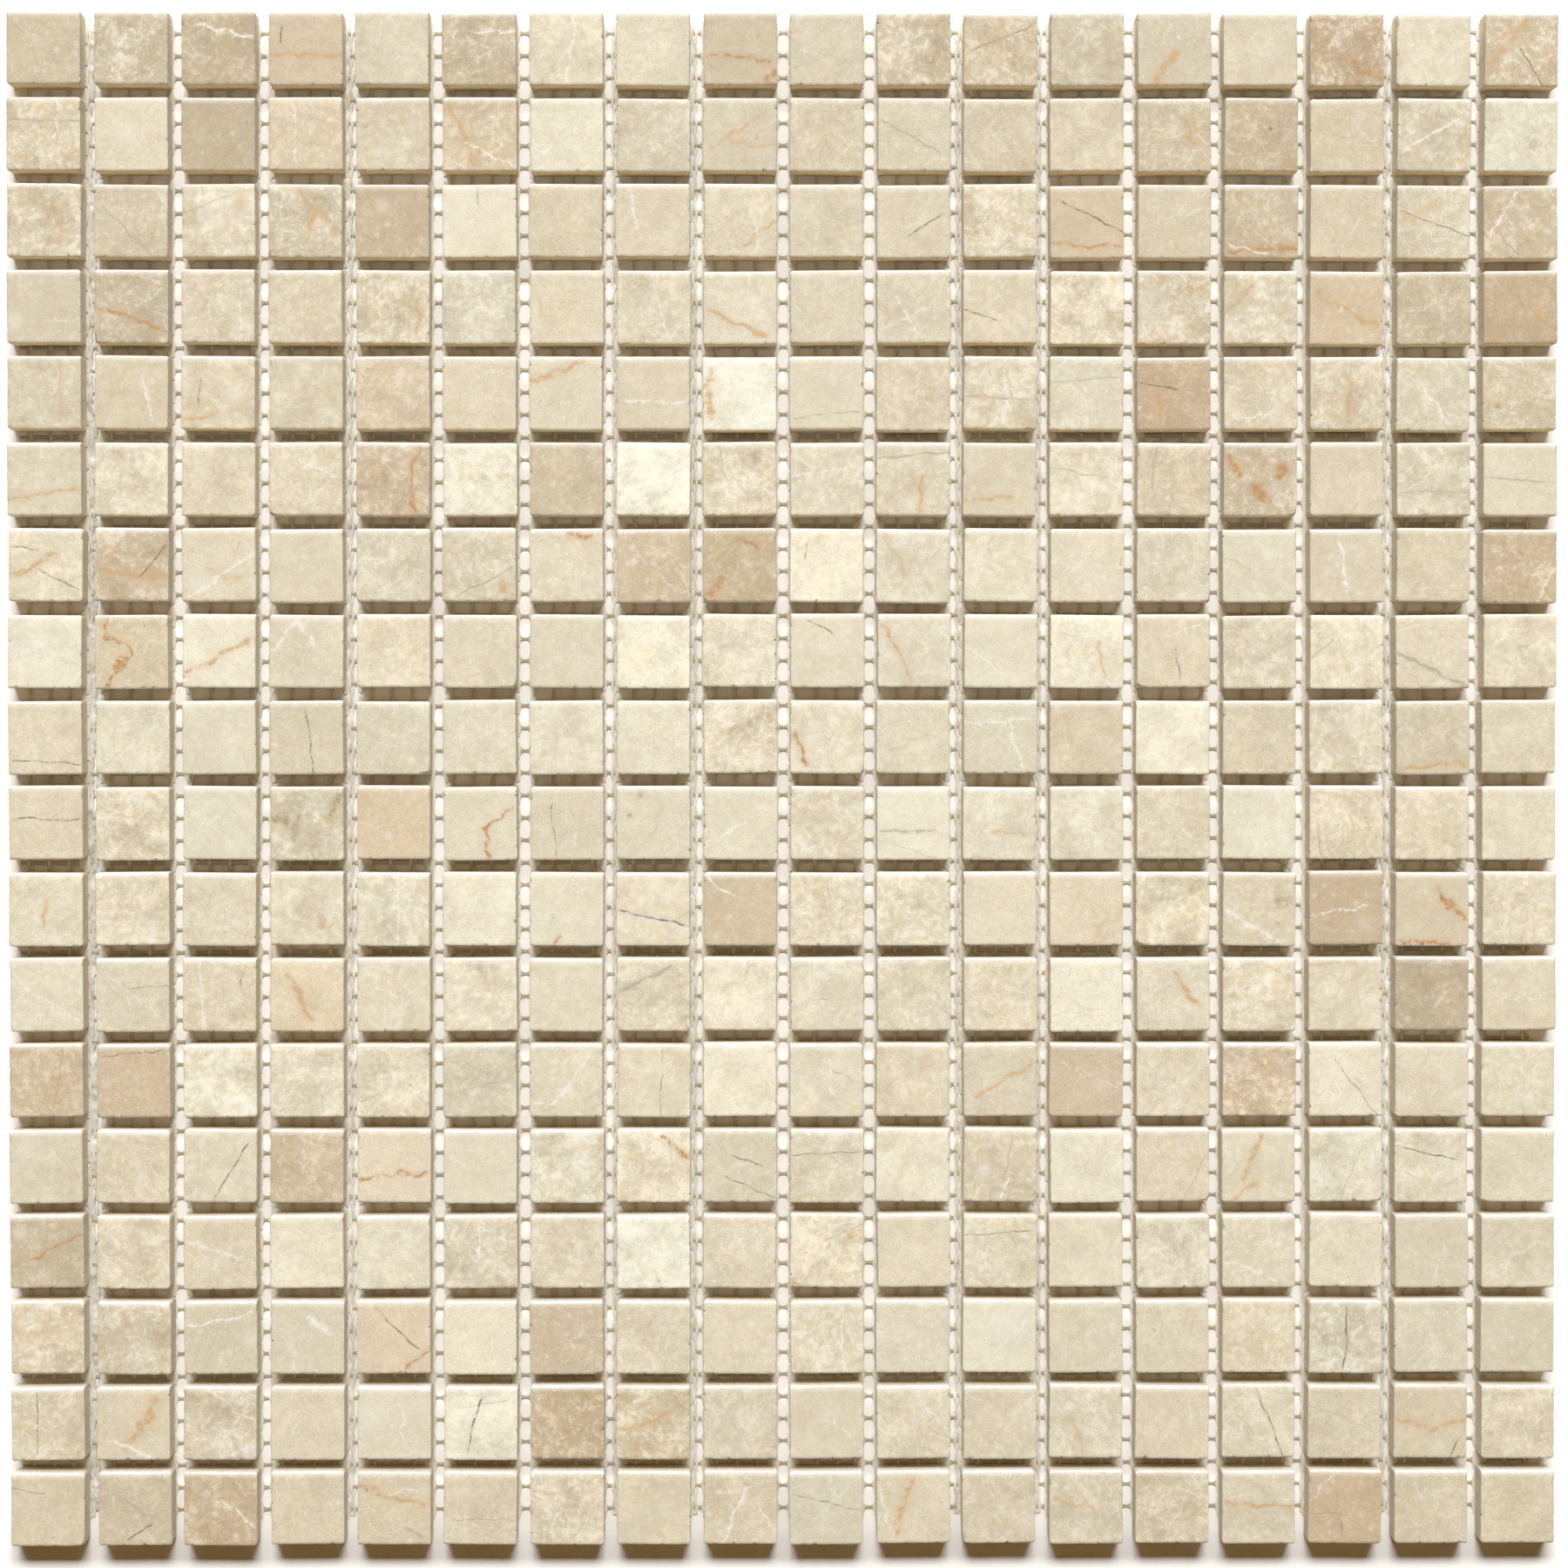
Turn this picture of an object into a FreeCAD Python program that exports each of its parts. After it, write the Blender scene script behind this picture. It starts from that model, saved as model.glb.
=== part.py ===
import FreeCAD, Part
import math
import os
import random

# Marble mosaic sheet: square sawn chips in straight rows with open joints, glued
# by their backs to a leno net of glass-fibre yarn. Millimetres. The origin is the
# middle of the underside, +Z goes up through the honed faces, and +Y points from
# the last row to the first.

# Chips
chips_across = 18
chips_down = 18
chip_side = 14.45
chip_thickness = 7.0
joint_between_columns = 2.55
joint_between_rows = 2.39
arris = 0.25

# Corners that broke off in sawing and handling: row and column of the chip, both
# counted from the north-west, the corner, and how far the break reaches from it
# along X, along Y and down
broken_corners = [
    (1, 3, "NW", 1.0, 0.8, 1.6),
    (2, 8, "NE", 1.1, 1.2, 2.2),
    (2, 18, "NW", 1.4, 1.0, 2.0),
    (3, 1, "NE", 3.4, 0.9, 1.5),
    (3, 4, "SW", 1.2, 0.6, 1.0),
    (4, 2, "SW", 0.9, 1.3, 2.4),
    (4, 17, "NW", 1.3, 1.1, 1.8),
    (4, 18, "SE", 1.0, 0.7, 1.4),
    (6, 4, "SW", 1.7, 0.9, 1.5),
    (6, 15, "SE", 1.2, 1.6, 2.6),
    (7, 9, "SW", 0.9, 1.1, 2.0),
    (7, 14, "SE", 0.9, 1.2, 1.6),
    (8, 6, "SE", 1.1, 1.2, 2.2),
    (8, 14, "SW", 1.5, 0.9, 1.8),
    (9, 5, "SE", 1.3, 1.1, 1.9),
    (9, 10, "SE", 0.9, 0.9, 1.4),
    (10, 2, "NW", 1.0, 0.9, 1.6),
    (10, 18, "SE", 0.8, 0.9, 1.8),
    (11, 14, "SW", 1.8, 1.1, 1.7),
    (12, 18, "NW", 1.2, 0.9, 1.5),
    (13, 2, "SW", 0.9, 0.8, 1.3),
    (14, 14, "SE", 1.0, 1.3, 2.1),
    (14, 16, "SE", 1.2, 1.1, 1.9),
    (14, 18, "SW", 1.3, 0.8, 1.2),
    (15, 7, "SW", 1.0, 1.0, 1.7),
    (16, 1, "NE", 3.0, 0.9, 1.4),
    (16, 2, "NE", 1.0, 1.7, 2.0),
    (16, 7, "SE", 1.9, 0.7, 1.1),
    (18, 1, "SE", 1.0, 1.2, 2.2),
    (18, 12, "SW", 0.9, 0.8, 1.5),
]

# Irregular lay: the most that a chip is over or under size, off its place along
# each axis, and turned
saw_play = 0.1
slip_play = 0.16
turn_play_degrees = 0.7
lay_seed = 18

# Net yarns, pressed flat: the share of a yarn's width that is flat above and below
# is the same for all
weft_pitch = 4.42
weft_width = 0.55
weft_thickness = 0.25
warp_pitch = 4.0
warp_width = 0.4
warp_thickness = 0.15
flat_share = 0.5

# Where the net starts inside the outline of the chips: on the far side it keeps at
# least the same margin
first_weft_from_north = 3.0
first_warp_from_west = 2.4
yarn_tail = 1.1

# How much wider than its break the wedge is that cuts a corner off
cutter_spread = 1.5

# Pitches, outline and heights that follow
column_pitch = chip_side + joint_between_columns
row_pitch = chip_side + joint_between_rows
sheet_width = (chips_across - 1) * column_pitch + chip_side
sheet_length = (chips_down - 1) * row_pitch + chip_side
weft_height = warp_thickness
warp_over_height = weft_height + weft_thickness
chip_height = warp_over_height + warp_thickness


def yarn_lines(span, first, pitch):
    """Places of the yarns across a span: from the first one on, for as long as the far
    edge keeps its margin too, measured from the middle of the span."""
    count = int((span - 2 * first) / pitch) + 1
    return [first + number * pitch - span / 2 for number in range(count)]


def lay_of_chips():
    """For each row, its chips as (x, y, width, length, turn), spread evenly about the
    origin and then each set a little off by the same seeded draws."""
    draw = random.Random(lay_seed)
    rows = []
    for row in range(chips_down):
        row_y = ((chips_down - 1) / 2 - row) * row_pitch
        chips = []
        for column in range(chips_across):
            column_x = (column - (chips_across - 1) / 2) * column_pitch
            x = column_x + slip_play * draw.uniform(-1, 1)
            y = row_y + slip_play * draw.uniform(-1, 1)
            width = chip_side + saw_play * draw.uniform(-1, 1)
            length = chip_side + saw_play * draw.uniform(-1, 1)
            turn = turn_play_degrees * draw.uniform(-1, 1)
            chips.append((x, y, width, length, turn))
        rows.append(chips)
    return rows


def reach(width, length, turn):
    """Half the room that a turned chip takes along X and along Y."""
    angle = math.radians(abs(turn))
    along_x = (width * math.cos(angle) + length * math.sin(angle)) / 2
    along_y = (width * math.sin(angle) + length * math.cos(angle)) / 2
    return along_x, along_y


def middle_of(rows):
    """The middle of the box round all the chips."""
    low_x, high_x, low_y, high_y = [], [], [], []
    for chips in rows:
        for x, y, width, length, turn in chips:
            along_x, along_y = reach(width, length, turn)
            low_x.append(x - along_x)
            high_x.append(x + along_x)
            low_y.append(y - along_y)
            high_y.append(y + along_y)
    return (min(low_x) + max(high_x)) / 2, (min(low_y) + max(high_y)) / 2


def break_off(chip, width, length, corner, along_x, along_y, down):
    """Cuts the corner off behind the plane through three points, one on each of the
    block's edges that meet there."""
    side_x = 1 if "E" in corner else -1
    side_y = 1 if "N" in corner else -1
    face_height = chip_height + chip_thickness
    tip = FreeCAD.Vector(side_x * width / 2, side_y * length / 2, face_height)
    points = [
        tip - FreeCAD.Vector(side_x * along_x, 0, 0),
        tip - FreeCAD.Vector(0, side_y * along_y, 0),
        tip - FreeCAD.Vector(0, 0, down),
    ]
    middle = (points[0] + points[1] + points[2]) / 3
    wide_points = [middle + (point - middle) * cutter_spread for point in points]
    plane = Part.Face(Part.makePolygon(wide_points + wide_points[:1]))
    outward = (points[1] - points[0]).cross(points[2] - points[0])
    if outward.dot(tip - middle) < 0:
        outward = outward * -1
    outward.normalize()
    return chip.cut(plane.extrude(outward * (along_x + along_y + down)))


def make_chip(x, y, width, length, turn, breaks):
    """One sawn chip: a square block whose honed face has a bevelled arris, less its
    broken corners."""
    corner = FreeCAD.Vector(-width / 2, -length / 2, chip_height)
    block = Part.makeBox(width, length, chip_thickness, corner)
    face_height = chip_height + chip_thickness
    face_edges = []
    for edge in block.Edges:
        if min(vertex.Z for vertex in edge.Vertexes) > face_height - arris:
            face_edges.append(edge)
    chip = block.makeChamfer(arris, face_edges)
    for corner, along_x, along_y, down in breaks:
        chip = break_off(chip, width, length, corner, along_x, along_y, down)
    chip.rotate(FreeCAD.Vector(0, 0, 0), FreeCAD.Vector(0, 0, 1), turn)
    chip.translate(FreeCAD.Vector(x, y, 0))
    return chip


def make_yarn(start, end, width, thickness):
    """A straight yarn between two points on its underside, pressed to a six-sided
    section that is flat above and below."""
    along = end - start
    across = FreeCAD.Vector(-along.y, along.x, 0).normalize() * (width / 2)
    up = FreeCAD.Vector(0, 0, thickness)
    points = [
        start - across * flat_share,
        start + across * flat_share,
        start + across + up / 2,
        start + across * flat_share + up,
        start - across * flat_share + up,
        start - across + up / 2,
    ]
    section = Part.Face(Part.makePolygon(points + points[:1]))
    return section.extrude(along)


def make_weft(weft_lines, warp_lines):
    """The yarns along the rows, a tail longer than the warp is wide."""
    west_end = warp_lines[0] - warp_width / 2 - yarn_tail
    east_end = warp_lines[-1] + warp_width / 2 + yarn_tail
    yarns = []
    for y in weft_lines:
        start = FreeCAD.Vector(west_end, y, weft_height)
        end = FreeCAD.Vector(east_end, y, weft_height)
        yarns.append(make_yarn(start, end, weft_width, weft_thickness))
    return yarns


def make_warp(weft_lines, warp_lines, height):
    """The yarns across the rows that lie at one height, a tail longer than the weft."""
    north_end = weft_lines[0] + weft_width / 2 + yarn_tail
    south_end = weft_lines[-1] - weft_width / 2 - yarn_tail
    yarns = []
    for x in warp_lines:
        start = FreeCAD.Vector(x, south_end, height)
        end = FreeCAD.Vector(x, north_end, height)
        yarns.append(make_yarn(start, end, warp_width, warp_thickness))
    return yarns


def write_node(name, solids):
    Part.makeCompound(solids).exportStep("parts/" + name + ".step")


os.makedirs("parts", exist_ok=True)

rows = lay_of_chips()
middle_x, middle_y = middle_of(rows)
for row, chips in enumerate(rows):
    solids = []
    for column, (x, y, width, length, turn) in enumerate(chips):
        breaks = [broken[2:] for broken in broken_corners if broken[:2] == (row + 1, column + 1)]
        solids.append(make_chip(x - middle_x, y - middle_y, width, length, turn, breaks))
    write_node("chip_row_%02d" % (row + 1), solids)

weft_lines = [-y for y in yarn_lines(sheet_length, first_weft_from_north, weft_pitch)]
warp_lines = yarn_lines(sheet_width, first_warp_from_west, warp_pitch)
write_node("net_warp_under", make_warp(weft_lines, warp_lines, 0.0))
write_node("net_weft", make_weft(weft_lines, warp_lines))
write_node("net_warp_over", make_warp(weft_lines, warp_lines, warp_over_height))
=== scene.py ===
import math
from collections import namedtuple
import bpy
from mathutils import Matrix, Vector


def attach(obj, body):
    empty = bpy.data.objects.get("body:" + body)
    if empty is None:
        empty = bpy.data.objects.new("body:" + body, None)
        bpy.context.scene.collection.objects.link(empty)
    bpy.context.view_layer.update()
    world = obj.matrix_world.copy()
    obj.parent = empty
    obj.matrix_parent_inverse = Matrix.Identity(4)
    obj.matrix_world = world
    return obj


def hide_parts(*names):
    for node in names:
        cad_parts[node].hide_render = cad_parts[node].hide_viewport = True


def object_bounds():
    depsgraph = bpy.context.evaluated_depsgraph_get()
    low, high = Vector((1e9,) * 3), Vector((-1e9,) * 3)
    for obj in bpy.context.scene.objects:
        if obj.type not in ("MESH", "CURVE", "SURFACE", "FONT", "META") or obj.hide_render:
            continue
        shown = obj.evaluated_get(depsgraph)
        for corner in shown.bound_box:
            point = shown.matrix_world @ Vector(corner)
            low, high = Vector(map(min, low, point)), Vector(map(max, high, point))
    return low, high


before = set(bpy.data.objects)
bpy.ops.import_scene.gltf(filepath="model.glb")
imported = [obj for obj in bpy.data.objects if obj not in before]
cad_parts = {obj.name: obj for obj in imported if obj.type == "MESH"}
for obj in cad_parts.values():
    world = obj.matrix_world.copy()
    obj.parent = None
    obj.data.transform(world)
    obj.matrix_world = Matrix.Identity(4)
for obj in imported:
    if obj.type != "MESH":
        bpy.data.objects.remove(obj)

from types import SimpleNamespace

import bpy
import numpy as np
from mathutils import Matrix, Vector

cad_low, cad_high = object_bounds()

# Lengths are metres, and MM turns a size given in millimetres into metres. Only the
# veins, the spots and the patterns of the stone are worked out in millimetres.
MM = 0.001
ROWS = 18
SEED = 305

# Chips: the pack gives their places and sizes, and these finish their edges. The reach
# of a bite along an edge is a share of the chip's side, its tip lies in the middle half
# of its stretch of the edge, and its depth is a gamma draw of one shape. The north side
# rolls off by a power of how far north a point is, the highest where the roll is short
CHIP_GAP = 0.5 * MM
FOOT_BAND = 0.01 * MM
LEAST_SLANT = 0.12
CORNER_POINTS = 5
CORNER_RADIUS = (0.25 * MM, 0.80 * MM)
LEAST_RADIUS = 0.10 * MM
BITES_PER_SIDE = 4
BITE_TIP = (0.25, 0.75)
BITE_REACH = (0.012, 0.045)
BITE_LEAN = 0.6
BITE_SHAPE = 1.3
USUAL_BITE = 0.075 * MM
DEEPEST_BITE = 0.42 * MM
EDGE_GRAIN = 0.025 * MM
BREAK_GRAIN = 0.09 * MM
ROLLED_END = 12
STEEPEST_ROLL = 6.3 * MM
LEAST_ROLL = 0.01 * MM
# The least share of the painted highlight on a chip's north edge
LEAST_PAINTED_HIGHLIGHT = 0.70

# The sharpest fold in degrees that still looks round, by slot
SHARPEST_FOLD = {"marble": 50, "net": 80}

# Rings of a chip from its honed face outwards and down: how far in from its sides,
# how far below its face (None is the foot), how much of a bite reaches it inwards and
# downwards, how worn it is and how much of it the saw left rough. The north side is
# rolled off and painted paler as a highlight: how much further in it lies there, and
# how much of the painted highlight it takes
Ring = namedtuple("Ring", "inset below inwards downwards worn sawn rolled bruised")
RINGS = [
    Ring(0.60 * MM, 0.000 * MM, 0.6, 0.0, 0.0, 0.0, 1.00 * MM, 0.0),
    Ring(0.17 * MM, 0.040 * MM, 1.0, 0.2, 0.6, 0.0, 0.34 * MM, 0.8),
    Ring(0.03 * MM, 0.170 * MM, 0.8, 1.0, 1.0, 0.5, 0.12 * MM, 1.0),
    Ring(0.00 * MM, 1.100 * MM, 0.1, 0.0, 0.2, 1.0, 0.00 * MM, 1.0),
    Ring(0.05 * MM, None, 0.0, 0.0, 0.0, 1.0, 0.00 * MM, 0.0),
]

# Tone of the stone: a usual chip, how much its red, green and blue follow when a chip
# is lighter or darker, the painted shade that darkens it toward the sheet's sides and
# the painted light that lightens it to the south, and how much chips differ
CREAM = np.array([0.826, 0.747, 0.560])
FOLLOW = np.array([0.78, 1.0, 1.27])
PAINTED_SHADE_TO_NORTH_AND_SOUTH = 0.15
PAINTED_SHADE_TO_WEST_AND_EAST = 0.06
PAINTED_LIGHT_TO_SOUTH = 0.045
LIGHT_SPREAD = 0.035
PICKED_SPREAD = 0.015
WARM_SPREAD = 0.011
BRIGHTEST = 0.98

# How cloudy and how speckled chips are: the two shapes of a beta draw, from 0 to 1
CLOUDY = (0.8, 1.7)
SPECKLED = (0.9, 1.8)

# Chips that stand out as lighter or darker, by row and column from the north-west
LIGHTNESS = {
    0.69: [
        (4, 18), (5, 14), (7, 9), (11, 16), (12, 17), (17, 7),
    ],
    0.78: [
        (1, 3), (1, 16), (2, 3), (2, 15), (3, 5), (4, 2), (6, 5), (6, 7), (6, 15), (7, 2), (7, 8),
        (7, 18), (11, 9), (13, 1), (13, 2), (13, 13), (13, 15), (14, 4), (15, 1), (16, 7), (18, 3),
        (18, 16),
    ],
    0.88: [
        (1, 6), (1, 9), (2, 14), (3, 13), (3, 15), (3, 18), (4, 16), (4, 17), (5, 5), (6, 14), (8, 2),
        (9, 13), (9, 15), (9, 17), (10, 4), (10, 5), (11, 15), (11, 17), (13, 6), (14, 12), (17, 8),
        (18, 2),
    ],
    1.12: [
        (1, 5), (1, 15), (3, 3), (4, 13), (6, 6), (8, 16), (10, 11), (11, 6), (12, 9), (13, 3),
        (13, 16), (14, 11), (14, 13), (15, 4), (16, 12), (17, 5),
    ],
    1.18: [
        (1, 7), (1, 8), (2, 2), (8, 1), (8, 3), (8, 13), (9, 14), (12, 13), (13, 9), (16, 6),
    ],
    1.24: [
        (1, 17), (2, 7), (2, 18), (3, 6), (7, 10), (8, 8), (17, 6),
    ],
    1.34: [
        (5, 9), (6, 8), (15, 8),
    ],
}

# Chips that stand out by their colour
TINTS = {
    (1.028, 0.985, 0.965): [
        (1, 4), (1, 16), (2, 4), (3, 5), (3, 13), (4, 16), (4, 18), (5, 5), (5, 14), (6, 5), (7, 2),
        (7, 8), (7, 18), (10, 5), (11, 9), (11, 16), (13, 1), (13, 2), (13, 13), (13, 15), (14, 4),
        (14, 5), (16, 5), (16, 7), (18, 3), (18, 16),
    ],
    (0.985, 1.003, 1.010): [
        (1, 8), (2, 7), (6, 6), (6, 13), (7, 12), (9, 12), (10, 3), (10, 4), (10, 8), (10, 14), (11, 1),
        (11, 5), (11, 11), (12, 11), (12, 15), (14, 7), (14, 15), (14, 16), (14, 18), (16, 3), (16, 18),
        (18, 8), (18, 13),
    ],
    (1.010, 0.995, 0.960): [
        (7, 9), (12, 8), (17, 7), (17, 8), (2, 6), (8, 2), (11, 14), (12, 4),
    ],
}

# What runs through the stone: colour, how fully it covers, and the usual width and
# wander of a vein of it in millimetres
STAINS = {
    "rust": ((0.56, 0.30, 0.115), 0.80, 0.42, 0.9),
    "ochre": ((0.66, 0.41, 0.180), 0.66, 0.60, 0.8),
    "chalk": ((0.96, 0.92, 0.80), 0.85, 0.26, 0.6),
    "crack": ((0.17, 0.13, 0.09), 0.80, 0.17, 0.35),
    "grey": ((0.36, 0.33, 0.26), 0.55, 0.24, 0.4),
    "olive": ((0.38, 0.30, 0.13), 0.70, 1.10, 0.8),
    "none": ((0.0, 0.0, 0.0), 0.0, 1.0, 0.0),
}

# Veins given, at most three a chip: row and column of the chip, the vein's two
# ends on its face, each from -1 to 1 east and north of its middle, and its strength
VEINS = {
    "rust": [
        (1, 9, -.9, -.16, .83, -.35, 1), (1, 9, .7, -.9, .98, -.6, 2), (1, 16, .0, -.07, .3, -.54, 1),
        (1, 16, .27, -.54, .97, -.92, 1.2), (3, 13, -1, -.55, 1, -.68, .8),
        (3, 15, -.9, -.78, 1, -.7, 1.6), (4, 2, -.93, .0, .98, -.67, 1), (6, 5, .65, .95, .47, .05, 1),
        (6, 5, .47, .1, .56, -.9, 1), (6, 15, -.9, .65, -.5, .1, 2.6), (6, 15, -.25, -.1, .3, -.6, 2.6),
        (6, 15, .4, .05, .75, .35, 2.4), (7, 7, .0, .85, .7, .8, 2.4), (7, 9, -.1, .75, .5, .45, 1.6),
        (7, 9, -.9, -.85, -.45, -.35, 1.6), (8, 2, -.75, .95, -.62, .42, 1),
        (8, 2, -.68, .48, -.05, .08, 1.3), (8, 2, -.05, .1, -.7, -.95, 1.1),
        (9, 10, -.9, .15, -.5, -.75, 1.7), (10, 6, .88, .44, .13, -.12, .8),
        (10, 6, .13, -.1, .22, -.92, 1.1), (11, 7, -.35, -.9, -.15, -.75, 1),
        (11, 17, .12, .65, .45, .15, 1.5), (11, 17, .43, .18, .95, -.25, 1.5),
        (11, 17, -.9, -.85, .5, -.95, 1), (14, 5, -.98, -.35, .9, -.16, .9),
        (14, 8, .25, .85, .95, .17, 1), (15, 1, -.44, -.25, .96, .5, .8),
        (16, 5, .95, -.36, -.05, -1, 1),
    ],
    "ochre": [
        (1, 4, -1, -.2, 1, -.2, .9), (1, 14, -.56, -.95, .1, -.05, 2.2),
        (1, 18, .15, .8, -.9, -.45, 1.5), (2, 6, -.85, .85, -.1, -.85, 1),
        (2, 9, -.85, -.38, .55, .47, .6), (2, 14, .2, .45, .58, -.3, 1.6),
        (3, 4, -.31, .9, .9, -.28, 1), (3, 4, .35, .38, .02, -.5, 1), (3, 9, .0, -.7, 1, .0, .8),
        (4, 5, .65, .2, .65, -.7, 1), (4, 9, -.9, -.1, .75, -.8, 1), (4, 15, -.15, .57, -.85, -.1, 1),
        (4, 16, -.85, .46, .85, -.5, 1.3), (5, 1, .45, .8, .42, -.8, .5),
        (5, 3, -.95, -.68, .0, -.58, .8), (5, 7, -1, .26, .6, .95, 1.2), (5, 9, -.8, .7, -.8, -.7, 2),
        (5, 14, -.47, .1, -.28, -.7, 1.4), (5, 16, .07, .36, .05, -.6, 1),
        (6, 1, -1, -.54, .97, -.3, 1), (6, 11, .3, .1, .16, -.97, 1),
        (6, 12, -.95, -.58, .37, -.49, .9), (7, 1, -.95, -.35, .3, .35, 1),
        (7, 2, -.95, -.05, .0, -.32, 1.5), (7, 2, -.1, -.3, .95, -.3, 1.7),
        (7, 6, .6, -.4, .72, -.75, 1.4), (8, 3, -.95, -.6, .1, -.1, 1.1),
        (8, 3, .0, -.1, .95, .36, 1.4), (8, 11, -.87, .75, -.07, -.78, 1), (8, 13, .3, .3, .5, -.7, .7),
        (9, 17, -.97, -.85, .9, -.66, 1), (10, 12, -.2, -.19, .75, -.3, .6),
        (11, 1, .1, .28, -.07, -.52, .8), (12, 4, -.5, .62, .16, -.72, 1.3),
        (12, 14, .0, .62, .76, -.43, 1), (12, 16, -.95, .8, .3, .9, .9), (13, 12, -.7, -.5, .9, .4, .7),
        (14, 15, .1, .9, -.4, -.42, 1.2), (14, 15, -.7, -.95, .0, -.4, 1),
        (17, 2, .6, .75, .4, .1, 1.7), (17, 2, .45, .15, -.3, -.7, 2.2),
        (17, 7, -.56, .52, -.07, -.08, .8), (17, 8, -.93, -.26, .5, .3, .9),
        (17, 17, -.95, .15, .02, -.25, .9), (17, 17, .0, -.25, .95, .05, .9),
        (18, 5, -.98, .66, .9, .0, 1.3), (18, 11, .0, .75, -.5, -.78, 1.4),
        (18, 13, -.9, .2, .3, -.1, .6), (18, 15, -.9, .1, .95, .0, 1),
    ],
    "olive": [
        (10, 4, -1, .1, -.5, .12, 1), (10, 4, .55, .2, .9, .8, 1), (10, 4, -.25, .25, -.3, -.5, .7),
        (10, 8, -.4, .8, -.3, .75, .6), (10, 8, -.66, .2, -.6, .18, .5), (11, 15, .49, .3, .5, .2, .7),
        (11, 15, .58, -.35, .58, -.45, .7),
    ],
    "chalk": [
        (1, 3, -.57, .6, .97, .3, 1), (1, 6, -.24, .45, .97, .5, 1), (1, 7, .25, .9, .0, -.74, 1),
        (2, 1, .36, .87, .3, -.28, 1), (2, 4, -.3, .8, -.3, -.8, .8), (2, 6, -.43, -.24, .97, -.87, .8),
        (2, 7, -.9, -.66, -.26, -.1, 1), (2, 17, -.9, -.47, .96, .57, 1),
        (3, 8, -.59, .77, -.36, -.48, 1), (3, 9, .3, .3, .5, -.8, .8), (3, 15, -.9, -.6, .2, -.9, 1),
        (3, 18, -.04, .87, -.84, -.38, 1), (4, 3, .6, .7, .62, -.8, .8), (4, 8, .07, .38, .4, -.88, .8),
        (4, 11, -.46, .28, .02, -.68, .9), (5, 2, .28, .46, .6, -.78, 1.1),
        (5, 8, -.83, -.25, .87, -.3, 1), (5, 12, .1, .65, .28, -.88, 1.1),
        (5, 15, -.74, -.74, .2, -.58, 1), (5, 17, -.5, .37, .63, -.88, 1.9), (6, 4, -.2, .5, .9, .0, 1),
        (6, 6, -1, .55, .62, .45, 1), (6, 10, -.9, .08, .8, .36, 1), (6, 13, .82, .8, .82, -.8, .9),
        (7, 3, -.8, -.9, .95, .3, 2.2), (7, 16, -.15, .66, .0, -.87, 1.7),
        (7, 18, .52, -.87, .9, -.1, 1), (8, 1, -.83, -.1, .13, .3, 1.8),
        (8, 4, -.31, .85, -.88, .0, 2.2), (8, 4, -.31, .84, .26, .17, 1.8),
        (8, 12, -.95, .18, .2, -.78, 1), (8, 14, .0, .45, .95, .84, 1),
        (9, 12, -.95, .33, .95, .5, 1.6), (9, 12, .2, .5, .6, -.9, 1.2),
        (10, 9, -.95, -.6, .37, .16, 1), (11, 5, .14, .9, .14, -.9, .8),
        (11, 8, -.95, -.05, .95, -.5, 1.2), (11, 9, -.95, .88, -.15, .3, .9),
        (11, 15, -.93, -.03, .78, -.98, 2), (11, 16, -.95, -.2, .56, .07, 1),
        (12, 1, -.92, .43, .88, -.72, 1.1), (12, 3, -.52, .92, -.38, -.92, 1.2),
        (13, 3, -.38, .58, .97, .38, 1), (13, 7, -.93, -.57, -.36, -.66, 1.2),
        (13, 7, -.36, -.64, .1, -.1, 1.4), (13, 7, .05, -.12, .68, .76, 1.4),
        (13, 10, .1, .6, .2, -.5, 1.2), (14, 12, .25, -.4, .0, -.95, 1.2),
        (15, 3, -.95, .37, .95, -.3, 1), (15, 6, -.06, .72, -.05, -.16, 1.6),
        (15, 9, .04, .43, .18, -.26, 1.2), (15, 10, -.9, .5, .92, .82, 1),
        (15, 15, -.97, -.25, .1, -.64, 1.1), (15, 15, .0, -.55, .5, -.8, 1.1),
        (16, 3, -.96, .3, .1, .45, 1), (16, 3, .05, .42, 1, .7, 1), (16, 4, .0, .6, .6, .1, 2.2),
        (16, 4, -.4, -.9, -.35, -.3, .9), (16, 10, .43, .8, .43, -.8, 1.2),
        (16, 12, .76, .42, -.76, -1, 1), (17, 2, -.6, -.5, .6, -.95, 2.2), (17, 3, .5, .2, .95, .1, 1),
        (17, 3, .3, -.9, .9, -.6, 2), (17, 11, .0, .8, .88, -.18, 1), (18, 3, -.15, .18, .4, .0, 1),
        (18, 3, .35, .02, .95, -.5, 1), (18, 9, .18, .56, -.5, -1, .9), (18, 9, .46, .08, .8, -.5, .9),
        (18, 11, -.97, .55, -.54, -.78, .9),
    ],
    "crack": [
        (1, 4, -.64, .6, -.68, .15, 1.2), (1, 12, -.85, -.07, .95, .7, .8),
        (1, 18, -.04, .03, .63, -1, 1), (3, 6, -.04, .95, -.02, .47, 1), (3, 11, -.17, -.4, .78, .2, 1),
        (3, 13, -.73, .58, .97, -.28, 1.2), (3, 17, -.9, .28, 1, -.38, .9),
        (4, 12, -.98, -.06, -.1, -.35, 1), (5, 3, -.46, .37, -.5, -.3, .9),
        (5, 14, -.94, .31, .1, .12, 1.1), (7, 1, -.25, -.1, .88, -.68, 1.1),
        (7, 1, -.9, .5, -.2, .4, .8), (7, 2, .23, -.3, .9, .5, 1.2), (7, 10, -.5, .66, -.6, .18, .9),
        (8, 10, -.5, .84, .15, .45, 1), (8, 14, .1, .1, .15, -.8, .8), (9, 1, -.87, -.6, .97, -.7, .9),
        (9, 4, .0, .72, .2, -.96, 1), (10, 1, -.88, .1, .97, .08, 1), (10, 7, -.45, .5, -.26, -.9, .8),
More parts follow.
